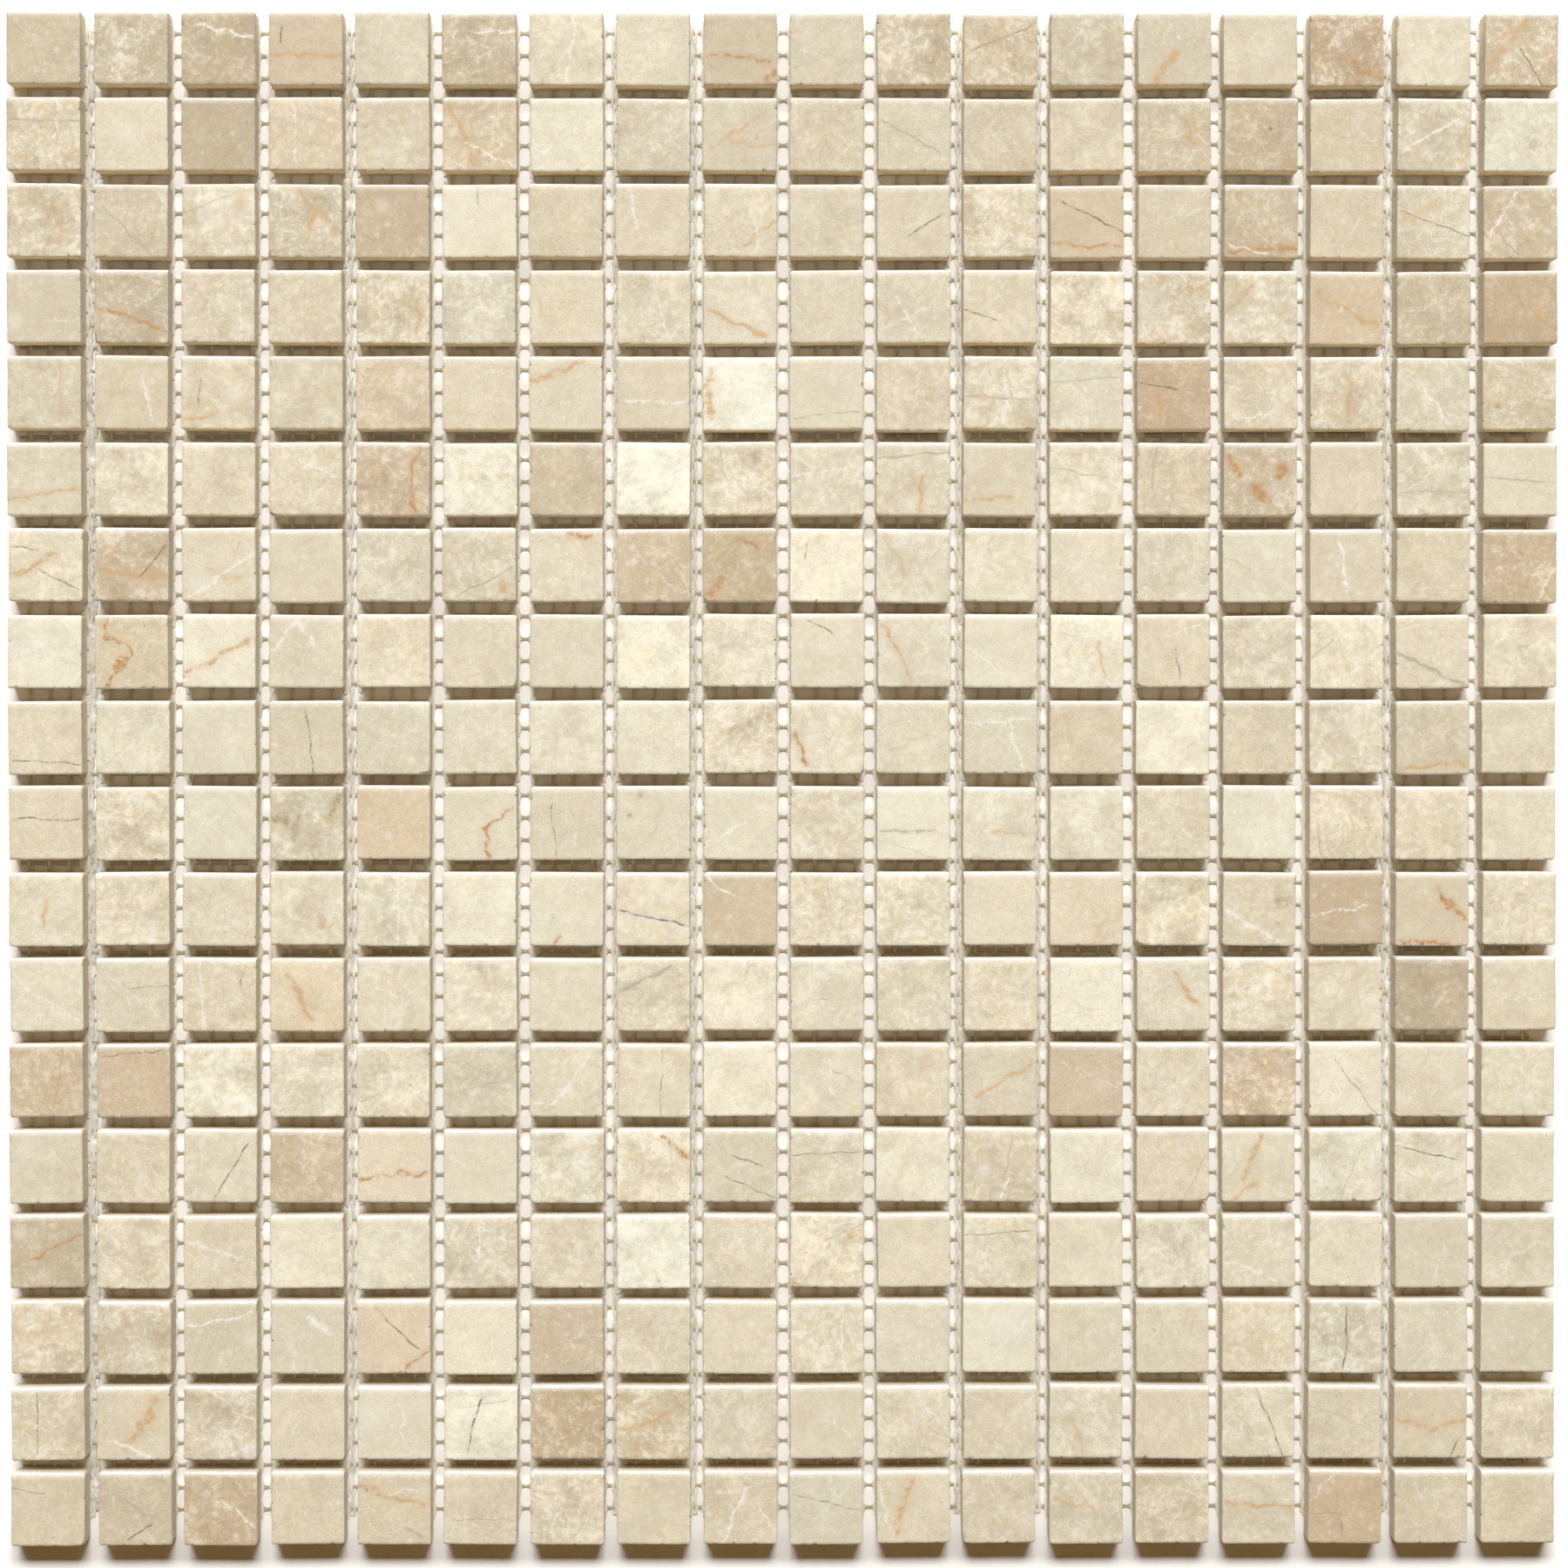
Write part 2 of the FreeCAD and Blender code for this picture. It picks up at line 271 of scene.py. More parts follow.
        (11, 8, -.93, -.03, .87, -.42, 1.9), (12, 3, .6, .6, .6, .27, 1),
        (13, 2, -.85, .66, .85, .84, .8), (13, 8, .19, .85, .19, -.9, .7),
        (14, 3, .75, .62, -.15, -.88, 1.1), (14, 9, -.2, .25, .6, .0, 1),
        (14, 9, -.4, -.3, .9, -.85, .9), (14, 10, -.98, .3, .92, .38, .8),
        (14, 17, -.98, .56, .7, .17, .9), (15, 12, -1, .46, .85, .54, .8),
        (16, 5, -.5, .78, .7, -.37, 1), (16, 16, .0, .78, .05, .1, 1.2),
        (16, 16, .04, .15, -.06, -.84, 1.1), (17, 1, -.27, .9, -.3, -.8, .8),
        (17, 6, .0, .7, -.38, -.75, 1.3), (17, 15, -.07, .92, .68, -.94, 1.1),
        (17, 17, .8, -.45, .52, -.94, 1), (18, 2, -.2, -.84, .5, -.4, 1.1),
        (18, 10, -.8, .37, .92, -.07, .8),
    ],
    "grey": [
        (2, 1, -1, .36, 1, .34, .9), (2, 11, -.9, .4, .7, -.5, 1), (3, 2, -.8, .5, .5, -.9, .8),
        (5, 10, -.9, -.68, .92, -.5, 1), (5, 12, -.95, -.07, .95, -.2, 1),
        (5, 13, -1, .31, .97, .45, .8), (6, 11, -.94, .55, .88, .74, 1),
        (6, 13, -.97, .31, .6, .03, .8), (6, 17, -.95, -.35, .95, -.33, .8),
        (6, 18, -.98, .08, .7, -.07, 1), (7, 6, -.64, -.88, .9, -.1, 1),
        (8, 16, -.95, -.2, -.38, .37, 1), (8, 17, -.98, .0, .92, -.94, 2.4),
        (10, 11, -.92, -.2, .6, -.2, 1.7), (10, 11, -.95, -.45, .6, -.95, .6),
        (10, 16, -.76, .0, -.7, -.9, 1), (12, 2, .0, .2, .95, .28, 1), (12, 8, -.94, .1, .5, .76, 2.2),
        (13, 16, -.3, .58, .85, -.95, 1), (14, 12, .35, .9, .1, -.4, .8), (18, 2, -.3, .3, .3, -.2, 1),
        (18, 5, .3, -.5, .8, -.8, 2.2), (18, 6, -.8, -.3, .95, -.3, .8),
    ],
}
VEIN_SLOTS = 3
VEIN_VALUES = [
    ("place", "FLOAT_VECTOR", "vector"),
    ("size", "FLOAT_VECTOR", "vector"),
    ("stain", "FLOAT_COLOR", "color"),
]

# Hairlines drawn for the slots that no picked vein fills: how likely each stain is,
# how far the middle is off the chip's, half their length, and shares of their stain's
# width, wander and cover
HAIRLINES = {"chalk": 0.32, "crack": 0.05, "ochre": 0.07, "none": 0.56}
HAIRLINE_REACH = 5
HAIRLINE_HALF = (1.5, 7)
HAIRLINE_WIDTH = (0.5, 0.9)
HAIRLINE_WANDER = (0.6, 2.0)
HAIRLINE_COVER = (0.2, 0.6)

# Spots given: row and column of the chip, stain, middle of the spot on its
# face as for a vein, and its radius in millimetres. Past the sharpest one's radius a
# spot covers less
SPOTS = [
    (1, 16, "chalk", 0.0, 0.45, 0.8), (2, 2, "chalk", -0.1, 0.0, 2.6), (2, 5, "grey", -0.73, 0.2, 0.3),
    (2, 15, "crack", 0.25, 0.15, 0.5), (2, 18, "grey", 0.38, -0.24, 1.6),
    (3, 3, "chalk", 0.0, 0.15, 3.2), (4, 1, "chalk", -0.8, -0.4, 2.0), (4, 14, "chalk", -0.6, 0.0, 3.4),
    (5, 3, "chalk", 0.46, 0.0, 2.2), (5, 18, "rust", -0.6, -0.35, 0.6),
    (7, 3, "chalk", -0.6, -0.4, 2.4), (7, 8, "chalk", -0.54, 0.13, 0.8),
    (7, 15, "chalk", 0.25, 0.3, 1.5), (8, 2, "crack", 0.36, 0.69, 0.22),
    (8, 3, "chalk", 0.2, -0.9, 2.8), (8, 5, "chalk", 0.1, -0.9, 2.4),
    (8, 9, "chalk", -0.24, -0.16, 1.2), (9, 10, "chalk", -0.36, 0.1, 1.6),
    (9, 16, "chalk", 0.2, 0.3, 2.4), (10, 5, "chalk", -0.14, -0.36, 0.8),
    (10, 8, "olive", -0.64, 0.2, 0.6), (11, 4, "rust", 0.42, -0.45, 1.0),
    (11, 15, "olive", 0.6, 0.15, 1.6), (12, 8, "rust", 0.95, -0.95, 0.8),
    (12, 15, "chalk", 0.2, -0.6, 1.6), (13, 5, "rust", 0.5, -0.12, 0.6),
    (14, 1, "chalk", -0.5, 0.5, 2.8), (14, 12, "chalk", -0.45, -0.15, 1.2),
    (15, 1, "chalk", -0.72, 0.5, 1.6), (15, 7, "chalk", 0.8, 0.5, 1.3),
    (15, 8, "grey", 0.14, -0.78, 0.35), (16, 3, "chalk", 0.85, -0.05, 2.2),
    (16, 12, "chalk", 0.1, 0.35, 3.0), (17, 3, "chalk", 0.8, -0.75, 1.5),
    (17, 5, "chalk", -0.6, 0.2, 2.6), (17, 7, "rust", -0.7, 0.68, 0.5),
    (18, 3, "crack", 0.45, -0.8, 0.2), (18, 5, "crack", -0.75, 0.5, 0.4),
]
SHARPEST_SPOT = 0.6

# Spots drawn for some of the other chips: how likely one is, how far off the chip's
# middle, its radius and its cover
CHANCE_OF_SPOT = 0.35
SPOT_REACH = 6
SPOT_RADIUS = (0.5, 2.2)
SPOT_COVER = (0.1, 0.35)
NO_SPOT = (0, 0, 0.01), (0, 0, 0, 0)

# Marble: its noises as scale, detail and roughness, how far the push moves the clouds
# and the mottle, how the saw marks are drawn out, how many cells of specks lie along a
# millimetre, and how far from the block's middle a chip may come
PUSH = (0.28, 1, 0.6)
PUSHED_BY = 2.6
CLOUDS = (0.17, 2, 0.62)
MOTTLE = (0.75, 3, 0.68)
GRAIN = (3.6, 2, 0.7)
SAW_MARKS = (1.0, 1, 0.6)
SAW_STRETCH = (2.4, 2.4, 0.10)
SPECK_CELLS = 0.5
BLOCK_REACH = 400

# Marble: how a blush turns its red, green and blue, what its tone is mixed toward where
# something marks it or where shade or a highlight is painted, and where the painted
# shade on the south side begins and is full, north of the chip's middle
BLUSH = (0.10, -0.12, -0.40)
PALE_SHELL = (1.0, 0.96, 0.84, 1)
WHITE_LINE = (0.95, 0.90, 0.77, 1)
DARK_LINE = (0.27, 0.22, 0.15, 1)
PALE_VOID = (0.97, 0.93, 0.81, 1)
DARK_DOT = (0.25, 0.17, 0.10, 1)
WORN_EDGE = (0.96, 0.91, 0.79, 1)
SAWN_SIDE = (0.99, 0.92, 0.78, 1)
SOUTH_PAINTED_SHADE = (0.90, 0.68, 0.33, 1)
SOUTH_PAINTED_SHADE_EDGE = (-6.95, -7.1)
NORTH_PAINTED_HIGHLIGHT = (0.97, 0.96, 0.93, 1)

# Net: how its yarns look between the places that the pack gives them. The twist of a
# pair swings each yarn from side to side, and lifts it over a weft or under it and
# then past its partner. Waves are counted over a yarn's length
YARN_GAP = 0.05 * MM
YARN_SIDES = 5
YARN_RIPPLE = 0.05 * MM
WAVE_WEIGHT = (0.4, 1.0)
WEFT_WAVES = [1, 2, 3, 5, 9]
WARP_WAVES = [3, 7, 13, 22]
WIDTH_SPREAD = (0.85, 1.15)
END_STEP = 1.2 * MM
WARP_WIDTH = 0.46 * MM
WARP_THICKNESS = 0.16 * MM
WARP_SWING = 0.36 * MM
LIFT_AT_WEFT = 0.19 * MM
LIFT_AT_TWIST = -0.085 * MM
KNOT_SPREAD = (0.1, 0.7)
WEFT_WIDTH = 0.52 * MM
WEFT_THICKNESS = 0.24 * MM
STEPS_PER_MESH = 4
NET_MIDDLE = 0.275 * MM

# How far the warp has drifted east, at a few places across the sheet, and how much
# the weft climbs to the north for each metre east
DRIFT_AT = np.array([-150, -85, 35, 103, 150]) * MM
DRIFT_BY = np.array([0.65, 0.05, -0.25, 0.4, 0.3]) * MM
WEFT_CLIMB = 0.0025

# Glue on the wefts: places east of a joint's west side, how much of the most glue is
# there and then in the middle of the joint, how much that varies, how much wider the
# most makes a weft and what share thicker, and how far beside a joint a warp yarn still
# counts as glued
GLUE_AT = np.array([-2.0, -1.1, -0.4, 0.05, 0.24, 0.36, 0.62]) * MM
GLUE_RAMP = np.array([0.10, 0.55, 0.95, 1.0, 0.88, 0.30, 0.06, 0.0])
GLUE_SPREAD = (0.75, 1.1)
GLUE_WIDTH = 3.75 * MM
GLUE_SWELLING = 0.3
GLUED_BESIDE_JOINT = 0.5 * MM

# Lumps of glue in the westmost joint, along three lines: place across the sheet and
# the most that a lump is wide. A line swells from 0 to 1 about a level, at the least to
# a share of the most that it is wide and thick, and a power keeps the wide places few
GLUE_LINES = [(-136.9 * MM, 1.9 * MM), (-136.2 * MM, 2.2 * MM), (-135.6 * MM, 1.8 * MM)]
GLUE_STEPS = 700
SWELL_WAVES = [7, 41, 73, 117, 171]
SWELL_LEVEL = 0.40
SWELL_RIPPLE = 0.80
SWELL_POWER = 1.5
LEAST_WIDE = 0.05
LEAST_THICK = 0.2
WANDER_WAVES = [5, 13, 29, 47]
GLUE_WANDER = 0.16 * MM
GLUE_THICKNESS = 0.75 * MM
GLUE_FOOT = 0.03 * MM

# Surface of the net: how finely its filaments repeat along each axis, to the metre, how
# high they stand, the same for lumps of glue, and the noises of both and of wetness
WEFT_FILAMENTS = (260, 5200, 3000)
WARP_FILAMENTS = (5200, 260, 3000)
FILAMENT_HEIGHT = 0.08 * MM
LUMPS = (900, 900, 900)
LUMP_HEIGHT = 0.45 * MM
STRANDS = (1.0, 3, 0.6)
WETNESS = (420.0, 3, 0.55)

# Colours of the net: dry and glued yarn, yarn that no glue reached, browner as
# painted shadow and shade, and glue by itself
DRY_YARN = (0.96, 0.92, 0.81, 1)
GLUED_YARN = (0.86, 0.79, 0.63, 1)
WEFT_PAINTED_SHADOW = (0.55, 0.48, 0.36, 1)
WARP_PAINTED_SHADE = (0.84, 0.75, 0.57, 1)
CLEAR_GLUE = (0.90, 0.88, 0.80, 1)
THICK_GLUE = (0.62, 0.59, 0.49, 1)

# Camera, and lamps: their elevation, size and strength
LENS = 97.17
SENSOR = 36.0
AIM = (0.085 * MM, -0.77 * MM)
CAMERA_FROM_AIM = (-7.5 * MM, 13.5 * MM, 830 * MM)
SEEN_FROM_TO = (0.01, 10)
LAMP_DISTANCE = 10.0
LAMP_COLOUR = (0.955, 0.975, 1.0)
HIGH_LAMP = (math.radians(56), (5.2, 1.9), 3.02)
LOW_LAMP = (math.radians(24), (14.0, 3.0), 1.60)
SKY_STRENGTH = 0.07
SKY_COLOUR = (1.0, 0.54, 0.14, 1)

# Floor: the paper as the stone and the net are lit by it, and as it is seen
FLOOR_SIDE = 1.6
FLOOR_DROP = 0.02 * MM
PAPER = (0.80, 0.75, 0.63, 1)
PAPER_SEEN = (1.26, 1.24, 1.19, 1)


# Reading the pack

def mesh_arrays(node):
    """The corner points of a CAD node's triangles, as an array of triangle, corner, xyz."""
    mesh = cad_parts[node].data
    points = np.empty(len(mesh.vertices) * 3)
    mesh.vertices.foreach_get("co", points)
    corners = np.empty(len(mesh.loops), dtype=np.int32)
    mesh.loops.foreach_get("vertex_index", corners)
    return points.reshape(-1, 3)[corners].reshape(-1, 3, 3)


def split_along(triangles, axis, least_gap):
    """Groups triangles into solids that stand apart along one axis: sorted by where
    they start, a new solid begins wherever a start lies beyond all ends so far."""
    low = triangles[:, :, axis].min(1)
    high = triangles[:, :, axis].max(1)
    order = np.argsort(low)
    reach = np.maximum.accumulate(high[order])
    begins = np.concatenate([[True], low[order][1:] > reach[:-1] + least_gap])
    label = np.cumsum(begins) - 1
    return [triangles[order[label == number]] for number in range(label[-1] + 1)]


def yarn_boxes(node, axis):
    """Low and high corners of each yarn of a CAD node, in order along an axis."""
    solids = split_along(mesh_arrays(node), axis, YARN_GAP)
    return np.array([(solid.min((0, 1)), solid.max((0, 1))) for solid in solids])


def chip_place(triangles):
    """Where one CAD chip is: the middle of its face, its axes, half its sides, and how
    deep it is. The corners of its foot are where the sum and the difference of x and y
    are largest and smallest. A broken corner is the triangles that slant to all three
    axes, and is given as their outward normal and middle in the chip's own frame."""
    points = triangles.reshape(-1, 3)
    foot, face = points[:, 2].min(), points[:, 2].max()
    base = points[points[:, 2] < foot + FOOT_BAND]
    total, difference = base[:, 0] + base[:, 1], base[:, 0] - base[:, 1]
    north_east, south_west = base[total.argmax(), :2], base[total.argmin(), :2]
    south_east, north_west = base[difference.argmax(), :2], base[difference.argmin(), :2]
    centre = (north_east + south_west + south_east + north_west) / 4
    east = (south_east - south_west + north_east - north_west) / 4
    north = (north_west - south_west + north_east - south_east) / 4
    turn = math.atan2(east[1], east[0])
    cosine, sine = math.cos(turn), math.sin(turn)
    axes = np.array([[cosine, sine, 0], [-sine, cosine, 0], [0, 0, 1]])
    origin = np.array([centre[0], centre[1], face])
    local = (triangles - origin) @ axes.T
    normals = np.cross(local[:, 1] - local[:, 0], local[:, 2] - local[:, 0])
    normals /= np.linalg.norm(normals, axis=1, keepdims=True) + 1e-30
    slanting = np.abs(normals).min(1) > LEAST_SLANT
    breaks = []
    if slanting.any():
        breaks.append((normals[slanting].mean(0), local[slanting].reshape(-1, 3).mean(0)))
    return SimpleNamespace(
        origin=origin, axes=axes, half=(np.linalg.norm(east), np.linalg.norm(north)),
        depth=face - foot, breaks=breaks,
    )


# Shapes

def ripple(draw, lines, share, waves, size):
    """A wavering value along each line: a sum of whole waves with drawn phases, the
    short ones weaker, scaled to the size given."""
    waves = np.array(waves)[None, :, None]
    phase = draw.uniform(0, 2 * math.pi, (lines, waves.size, 1))
    weight = draw.uniform(*WAVE_WEIGHT, (lines, waves.size, 1)) / np.sqrt(waves)
    return size * (weight * np.sin(2 * math.pi * waves * share + phase)).sum(1)


def stacked_faces(pieces, rings, count):
    """Faces of pieces that are each a stack of closed rings, one piece's points after
    the other's: quads from each ring to the next, and one face on each of the ends.
    A quad takes a point, the one under it, that one's neighbour and its own."""
    start = np.arange(pieces)[:, None] * rings * count
    here = np.arange(count)
    after = (here + 1) % count
    step = np.arange(rings - 1)[:, None, None] * count
    band = np.stack([here, here + count, after + count, after], -1)
    bands = start[..., None, None] + (step + band)[None]
    first = start + here
    last = start + (rings - 1) * count + here
    return bands.reshape(-1, 4).tolist(), first.tolist(), last.tolist()


def add_piece(name, points, faces, attributes, material, slot, nodes):
    """A mesh object with values stored on its points, riding on the root body in
    place of CAD nodes."""
    mesh = bpy.data.meshes.new(name)
    mesh.from_pydata(points, [], faces)
    for label, (kind, field, values) in attributes.items():
        layer = mesh.attributes.new(label, kind, "POINT")
        layer.data.foreach_set(field, np.ascontiguousarray(values, dtype=np.float32).ravel())
    mesh.materials.append(material)
    mesh.update()
    mesh.shade_smooth()
    mesh.set_sharp_from_angle(angle=math.radians(SHARPEST_FOLD[slot]))
    piece = bpy.data.objects.new(name, mesh)
    bpy.context.scene.collection.objects.link(piece)
    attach(piece, "root")
    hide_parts(*nodes)
    return piece


# Chips

def chip_edges(draw, chips):
    """What makes each chip's edge its own: the radius of its four corners, and along
    each side, as shares of it, points where the edge is whole or bitten, with how
    deep. A bite has a start, a tip and an end."""
    shape = (chips, 4, BITES_PER_SIDE)
    tip = (np.arange(BITES_PER_SIDE) + draw.uniform(*BITE_TIP, shape)) / BITES_PER_SIDE
    reach = draw.uniform(*BITE_REACH, shape)
    leaning = tip + reach * draw.uniform(-BITE_LEAN, BITE_LEAN, shape)
    along = np.stack([tip - reach, leaning, tip + reach], -1)
    depth = draw.gamma(BITE_SHAPE, USUAL_BITE, shape).clip(0, DEEPEST_BITE)
    bites = np.zeros((chips, 4, CORNER_POINTS + along[0, 0].size))
    bites[..., CORNER_POINTS + 1::3] = depth
    bites += draw.uniform(0, EDGE_GRAIN, bites.shape)
    return draw.uniform(*CORNER_RADIUS, (chips, 4, 1)), along.reshape(chips, 4, -1, 1), bites


def outline(halves, radius, along):
    """Round a rectangle counter-clockwise from the east, corner by corner: a quarter
    circle of the corner's radius, then the points along the straight side to the next
    corner. Gives the points and their outward directions."""
    angle = math.pi / 2 * (np.arange(4)[:, None] + np.linspace(0, 1, CORNER_POINTS))
    ahead = np.stack([np.cos(angle), np.sin(angle)], -1)
    centres = np.array([(1, 1), (-1, 1), (-1, -1), (1, -1)]) * (halves[:, None] - radius)
    arcs = centres[:, :, None] + radius[..., None] * ahead
    first, last = arcs[:, :, -1:], np.roll(arcs, -1, 1)[:, :, :1]
    sides = first + (last - first) * along
    outward = np.concatenate([ahead, np.repeat(ahead[:, -1:], along.shape[2], 1)], 1)
    return np.concatenate([arcs, sides], 2), outward


def chip_points(places, draw):
    """The points of a row of chips in their own frames, chip by ring by point, and how
    much painted highlight lies there along the north edge. Each ring is the chip's outline
    drawn in by the ring's inset and its share of the bites, at the ring's depth. Its points
    move south by the ring's roll times a high power of how far north they are. What then
    stands out past the plane of a broken corner is pressed back onto it, with a little grain."""
    halves = np.array([place.half for place in places])
    depth = np.array([place.depth for place in places])[:, None, None]
    radius, along, bites = chip_edges(draw, len(places))
    share = draw.uniform(LEAST_PAINTED_HIGHLIGHT, 1.0, (len(places), 1, 1))
    rings, bruised = [], []
    for ring in RINGS:
        flat, outward = outline(halves - ring.inset, np.maximum(radius - ring.inset, LEAST_RADIUS), along)
        flat = flat - outward * (ring.inwards * bites)[..., None]
        north = (flat[..., 1] / (halves[:, None, None, 1] - ring.inset)).clip(0, 1)
        power = min(ROLLED_END, STEEPEST_ROLL / max(ring.rolled, LEAST_ROLL))
        flat[..., 1] -= ring.rolled * north ** power
        height = -depth + 0 * bites if ring.below is None else -ring.below - ring.downwards * bites
        rings.append(np.concatenate([flat, height[..., None]], -1).reshape(len(places), -1, 3))
        # Painted highlight: the north edge is made paler, by a high power of how far north
        bruised.append((ring.bruised * share * north ** ROLLED_END).reshape(len(places), -1))
    points = np.stack(rings, 1)
    for chip, place in enumerate(places):
        for normal, spot in place.breaks:
            over = ((points[chip] - spot) @ normal).clip(0, None)
            grain = draw.uniform(0, BREAK_GRAIN, over.shape) * (over > 0)
            points[chip] -= (over + grain)[..., None] * normal
    return points, np.stack(bruised, 1)


def tone_of(row, column, draw):
    """A chip's own tone: cream times its lightness to the power that each of red, green
    and blue follows by, times its tint. The lightness is drawn, about the picked one if
    there is one. Painted shade makes it fall with the square of how far out the chip lies,
    and painted light makes it rise a little to the south. A warm chip has more red and less blue."""
    chip = (row, column)
    light = draw.normal(1.0, LIGHT_SPREAD)
    tint = np.ones(3)
    for value, chips in LIGHTNESS.items():
        light = draw.normal(value, PICKED_SPREAD) if chip in chips else light
    for colour, chips in TINTS.items():
        tint = np.array(colour) if chip in chips else tint
    middle, reach = (ROWS + 1) / 2, ROWS / 2
    south, east = (row - middle) / reach, (column - middle) / reach
    # Painted shade toward the sheet's sides and painted light to the south
    light *= 1 - PAINTED_SHADE_TO_NORTH_AND_SOUTH * south ** 2 - PAINTED_SHADE_TO_WEST_AND_EAST * east ** 2
    light *= 1 + PAINTED_LIGHT_TO_SOUTH * south
    warm = draw.normal(0.0, WARM_SPREAD)
    tint = tint * [1 + warm, 1, 1 - warm]
    colour = CREAM * light ** FOLLOW * tint
    return (*(colour * min(1, BRIGHTEST / colour.max())), 1)


def veins_of(row, column, half, draw):
    """A chip's veins, each as (middle x, y, angle), (half length, width, wander) and
    (red, green, blue, cover), in millimetres: the picked ones first, then drawn
    hairlines, or none."""
    veins = []
    for name, picked in VEINS.items():
        colour, cover, width, wander = STAINS[name]
        for vein in picked:
            if vein[:2] != (row, column):
                continue
            ends = np.array(vein[2:6]).reshape(2, 2) * half
            middle, along = ends.mean(0), ends[1] - ends[0]
            place = (*middle, math.atan2(along[1], along[0]))
            size = (np.linalg.norm(along) / 2, width * vein[6], wander)
            veins.append((place, size, (*colour, cover * min(vein[6], 1) ** 0.5)))
    while len(veins) < VEIN_SLOTS:
        name = draw.choice(list(HAIRLINES), p=list(HAIRLINES.values()))
        colour, cover, width, wander = STAINS[name]
        place = (*draw.uniform(-HAIRLINE_REACH, HAIRLINE_REACH, 2), draw.uniform(0, math.pi))
        half_length = draw.uniform(*HAIRLINE_HALF)
        size = (half_length, width * draw.uniform(*HAIRLINE_WIDTH), wander * draw.uniform(*HAIRLINE_WANDER))
        veins.append((place, size, (*colour, cover * draw.uniform(*HAIRLINE_COVER))))
    return veins


def spot_of(row, column, half, draw):
    """A chip's spot as (x, y, radius) and (red, green, blue, cover), in millimetres."""
    for spot in SPOTS:
        if spot[:2] == (row, column):
            colour, cover = STAINS[spot[2]][:2]
            cover *= min(1, SHARPEST_SPOT / spot[5]) ** 0.5
            return (*(np.array(spot[3:5]) * half), spot[5]), (*colour, cover)
    if draw.uniform() < CHANCE_OF_SPOT:
        place = (*draw.uniform(-SPOT_REACH, SPOT_REACH, 2), draw.uniform(*SPOT_RADIUS))
        return place, (*STAINS["chalk"][0], draw.uniform(*SPOT_COVER))
    return NO_SPOT


def make_chip_row(row, material, draw):
    """One row of chips: their surfaces, and on every point what the stone is there.
    Gives where the chips are."""
    node = "chip_row_%02d" % row
    places = [chip_place(solid) for solid in split_along(mesh_arrays(node), 0, CHIP_GAP)]
    local, bruised = chip_points(places, draw)
    chips, rings, count = local.shape[:3]
    local = local.reshape(chips, -1, 3)
    axes = np.array([place.axes for place in places])
    origins = np.array([place.origin for place in places])
    placed = local @ axes + origins[:, None]

    def on_points(values):
        """Values chip by chip, repeated on each chip's points."""
        return np.repeat(np.array(values, float), rings * count, 0)

    tones = [tone_of(row, column + 1, draw) for column in range(chips)]
    figures = [draw.beta(*CLOUDY, chips), draw.beta(*SPECKLED, chips), draw.uniform(0, 1, chips)]
    blocks = draw.uniform(-BLOCK_REACH, BLOCK_REACH, (chips, 3))
    worn, sawn = np.repeat([(ring.worn, ring.sawn) for ring in RINGS], count, 0).T
    attributes = {
        "stone_place": ("FLOAT_VECTOR", "vector", local.reshape(-1, 3) / MM),
        "stone_block": ("FLOAT_VECTOR", "vector", on_points(blocks)),
        "stone_figure": ("FLOAT_VECTOR", "vector", on_points(np.stack(figures, 1))),
        "stone_tone": ("FLOAT_COLOR", "color", on_points(tones)),
        "stone_worn": ("FLOAT", "value", np.tile(worn, chips)),
        "stone_sawn": ("FLOAT", "value", np.tile(sawn, chips)),
        "stone_painted_highlight": ("FLOAT", "value", bruised),
    }
    halves = [np.array(place.half) / MM for place in places]
    veins = [veins_of(row, column + 1, halves[column], draw) for column in range(chips)]
    for slot in range(VEIN_SLOTS):
        for part, (label, kind, field) in enumerate(VEIN_VALUES):
            values = on_points([vein[slot][part] for vein in veins])
            attributes["vein_%d_%s" % (slot + 1, label)] = (kind, field, values)
    spots = [spot_of(row, column + 1, halves[column], draw) for column in range(chips)]
    attributes["spot_place"] = ("FLOAT_VECTOR", "vector", on_points([spot[0] for spot in spots]))
    attributes["spot_stain"] = ("FLOAT_COLOR", "color", on_points([spot[1] for spot in spots]))
    bands, tops, feet = stacked_faces(chips, rings, count)
    faces = bands + tops + [foot[::-1] for foot in feet]
    piece = add_piece("honed_" + node, placed.reshape(-1, 3), faces, attributes, material, "marble", [node])
    shading = piece.modifiers.new("flat_honed_faces", "WEIGHTED_NORMAL")
    shading.keep_sharp = True
    return places


# Net

def tubes(paths, widths, thicknesses):
    """Yarns along paths given as yarn by step by xyz: at each step an ellipse that is
    as wide as given level with the floor and as thick as given upright, set across
    the path. Returns the points and the faces, with an end face on each yarn."""
    yarns, steps = paths.shape[:2]
    along = np.gradient(paths, axis=1)
    across = np.stack([-along[..., 1], along[..., 0], np.zeros((yarns, steps))], -1)
    across /= np.linalg.norm(across, axis=-1, keepdims=True)
    angle = 2 * math.pi * np.arange(YARN_SIDES) / YARN_SIDES + math.pi / 2
    sideways = np.cos(angle)[:, None] * (widths[..., None, None] / 2)
    points = paths[:, :, None] + sideways * across[:, :, None]
    points[..., 2] += np.sin(angle) * thicknesses[..., None] / 2
    bands, starts, ends = stacked_faces(yarns, steps, YARN_SIDES)
    return points.reshape(-1, 3), bands + [start[::-1] for start in starts] + ends


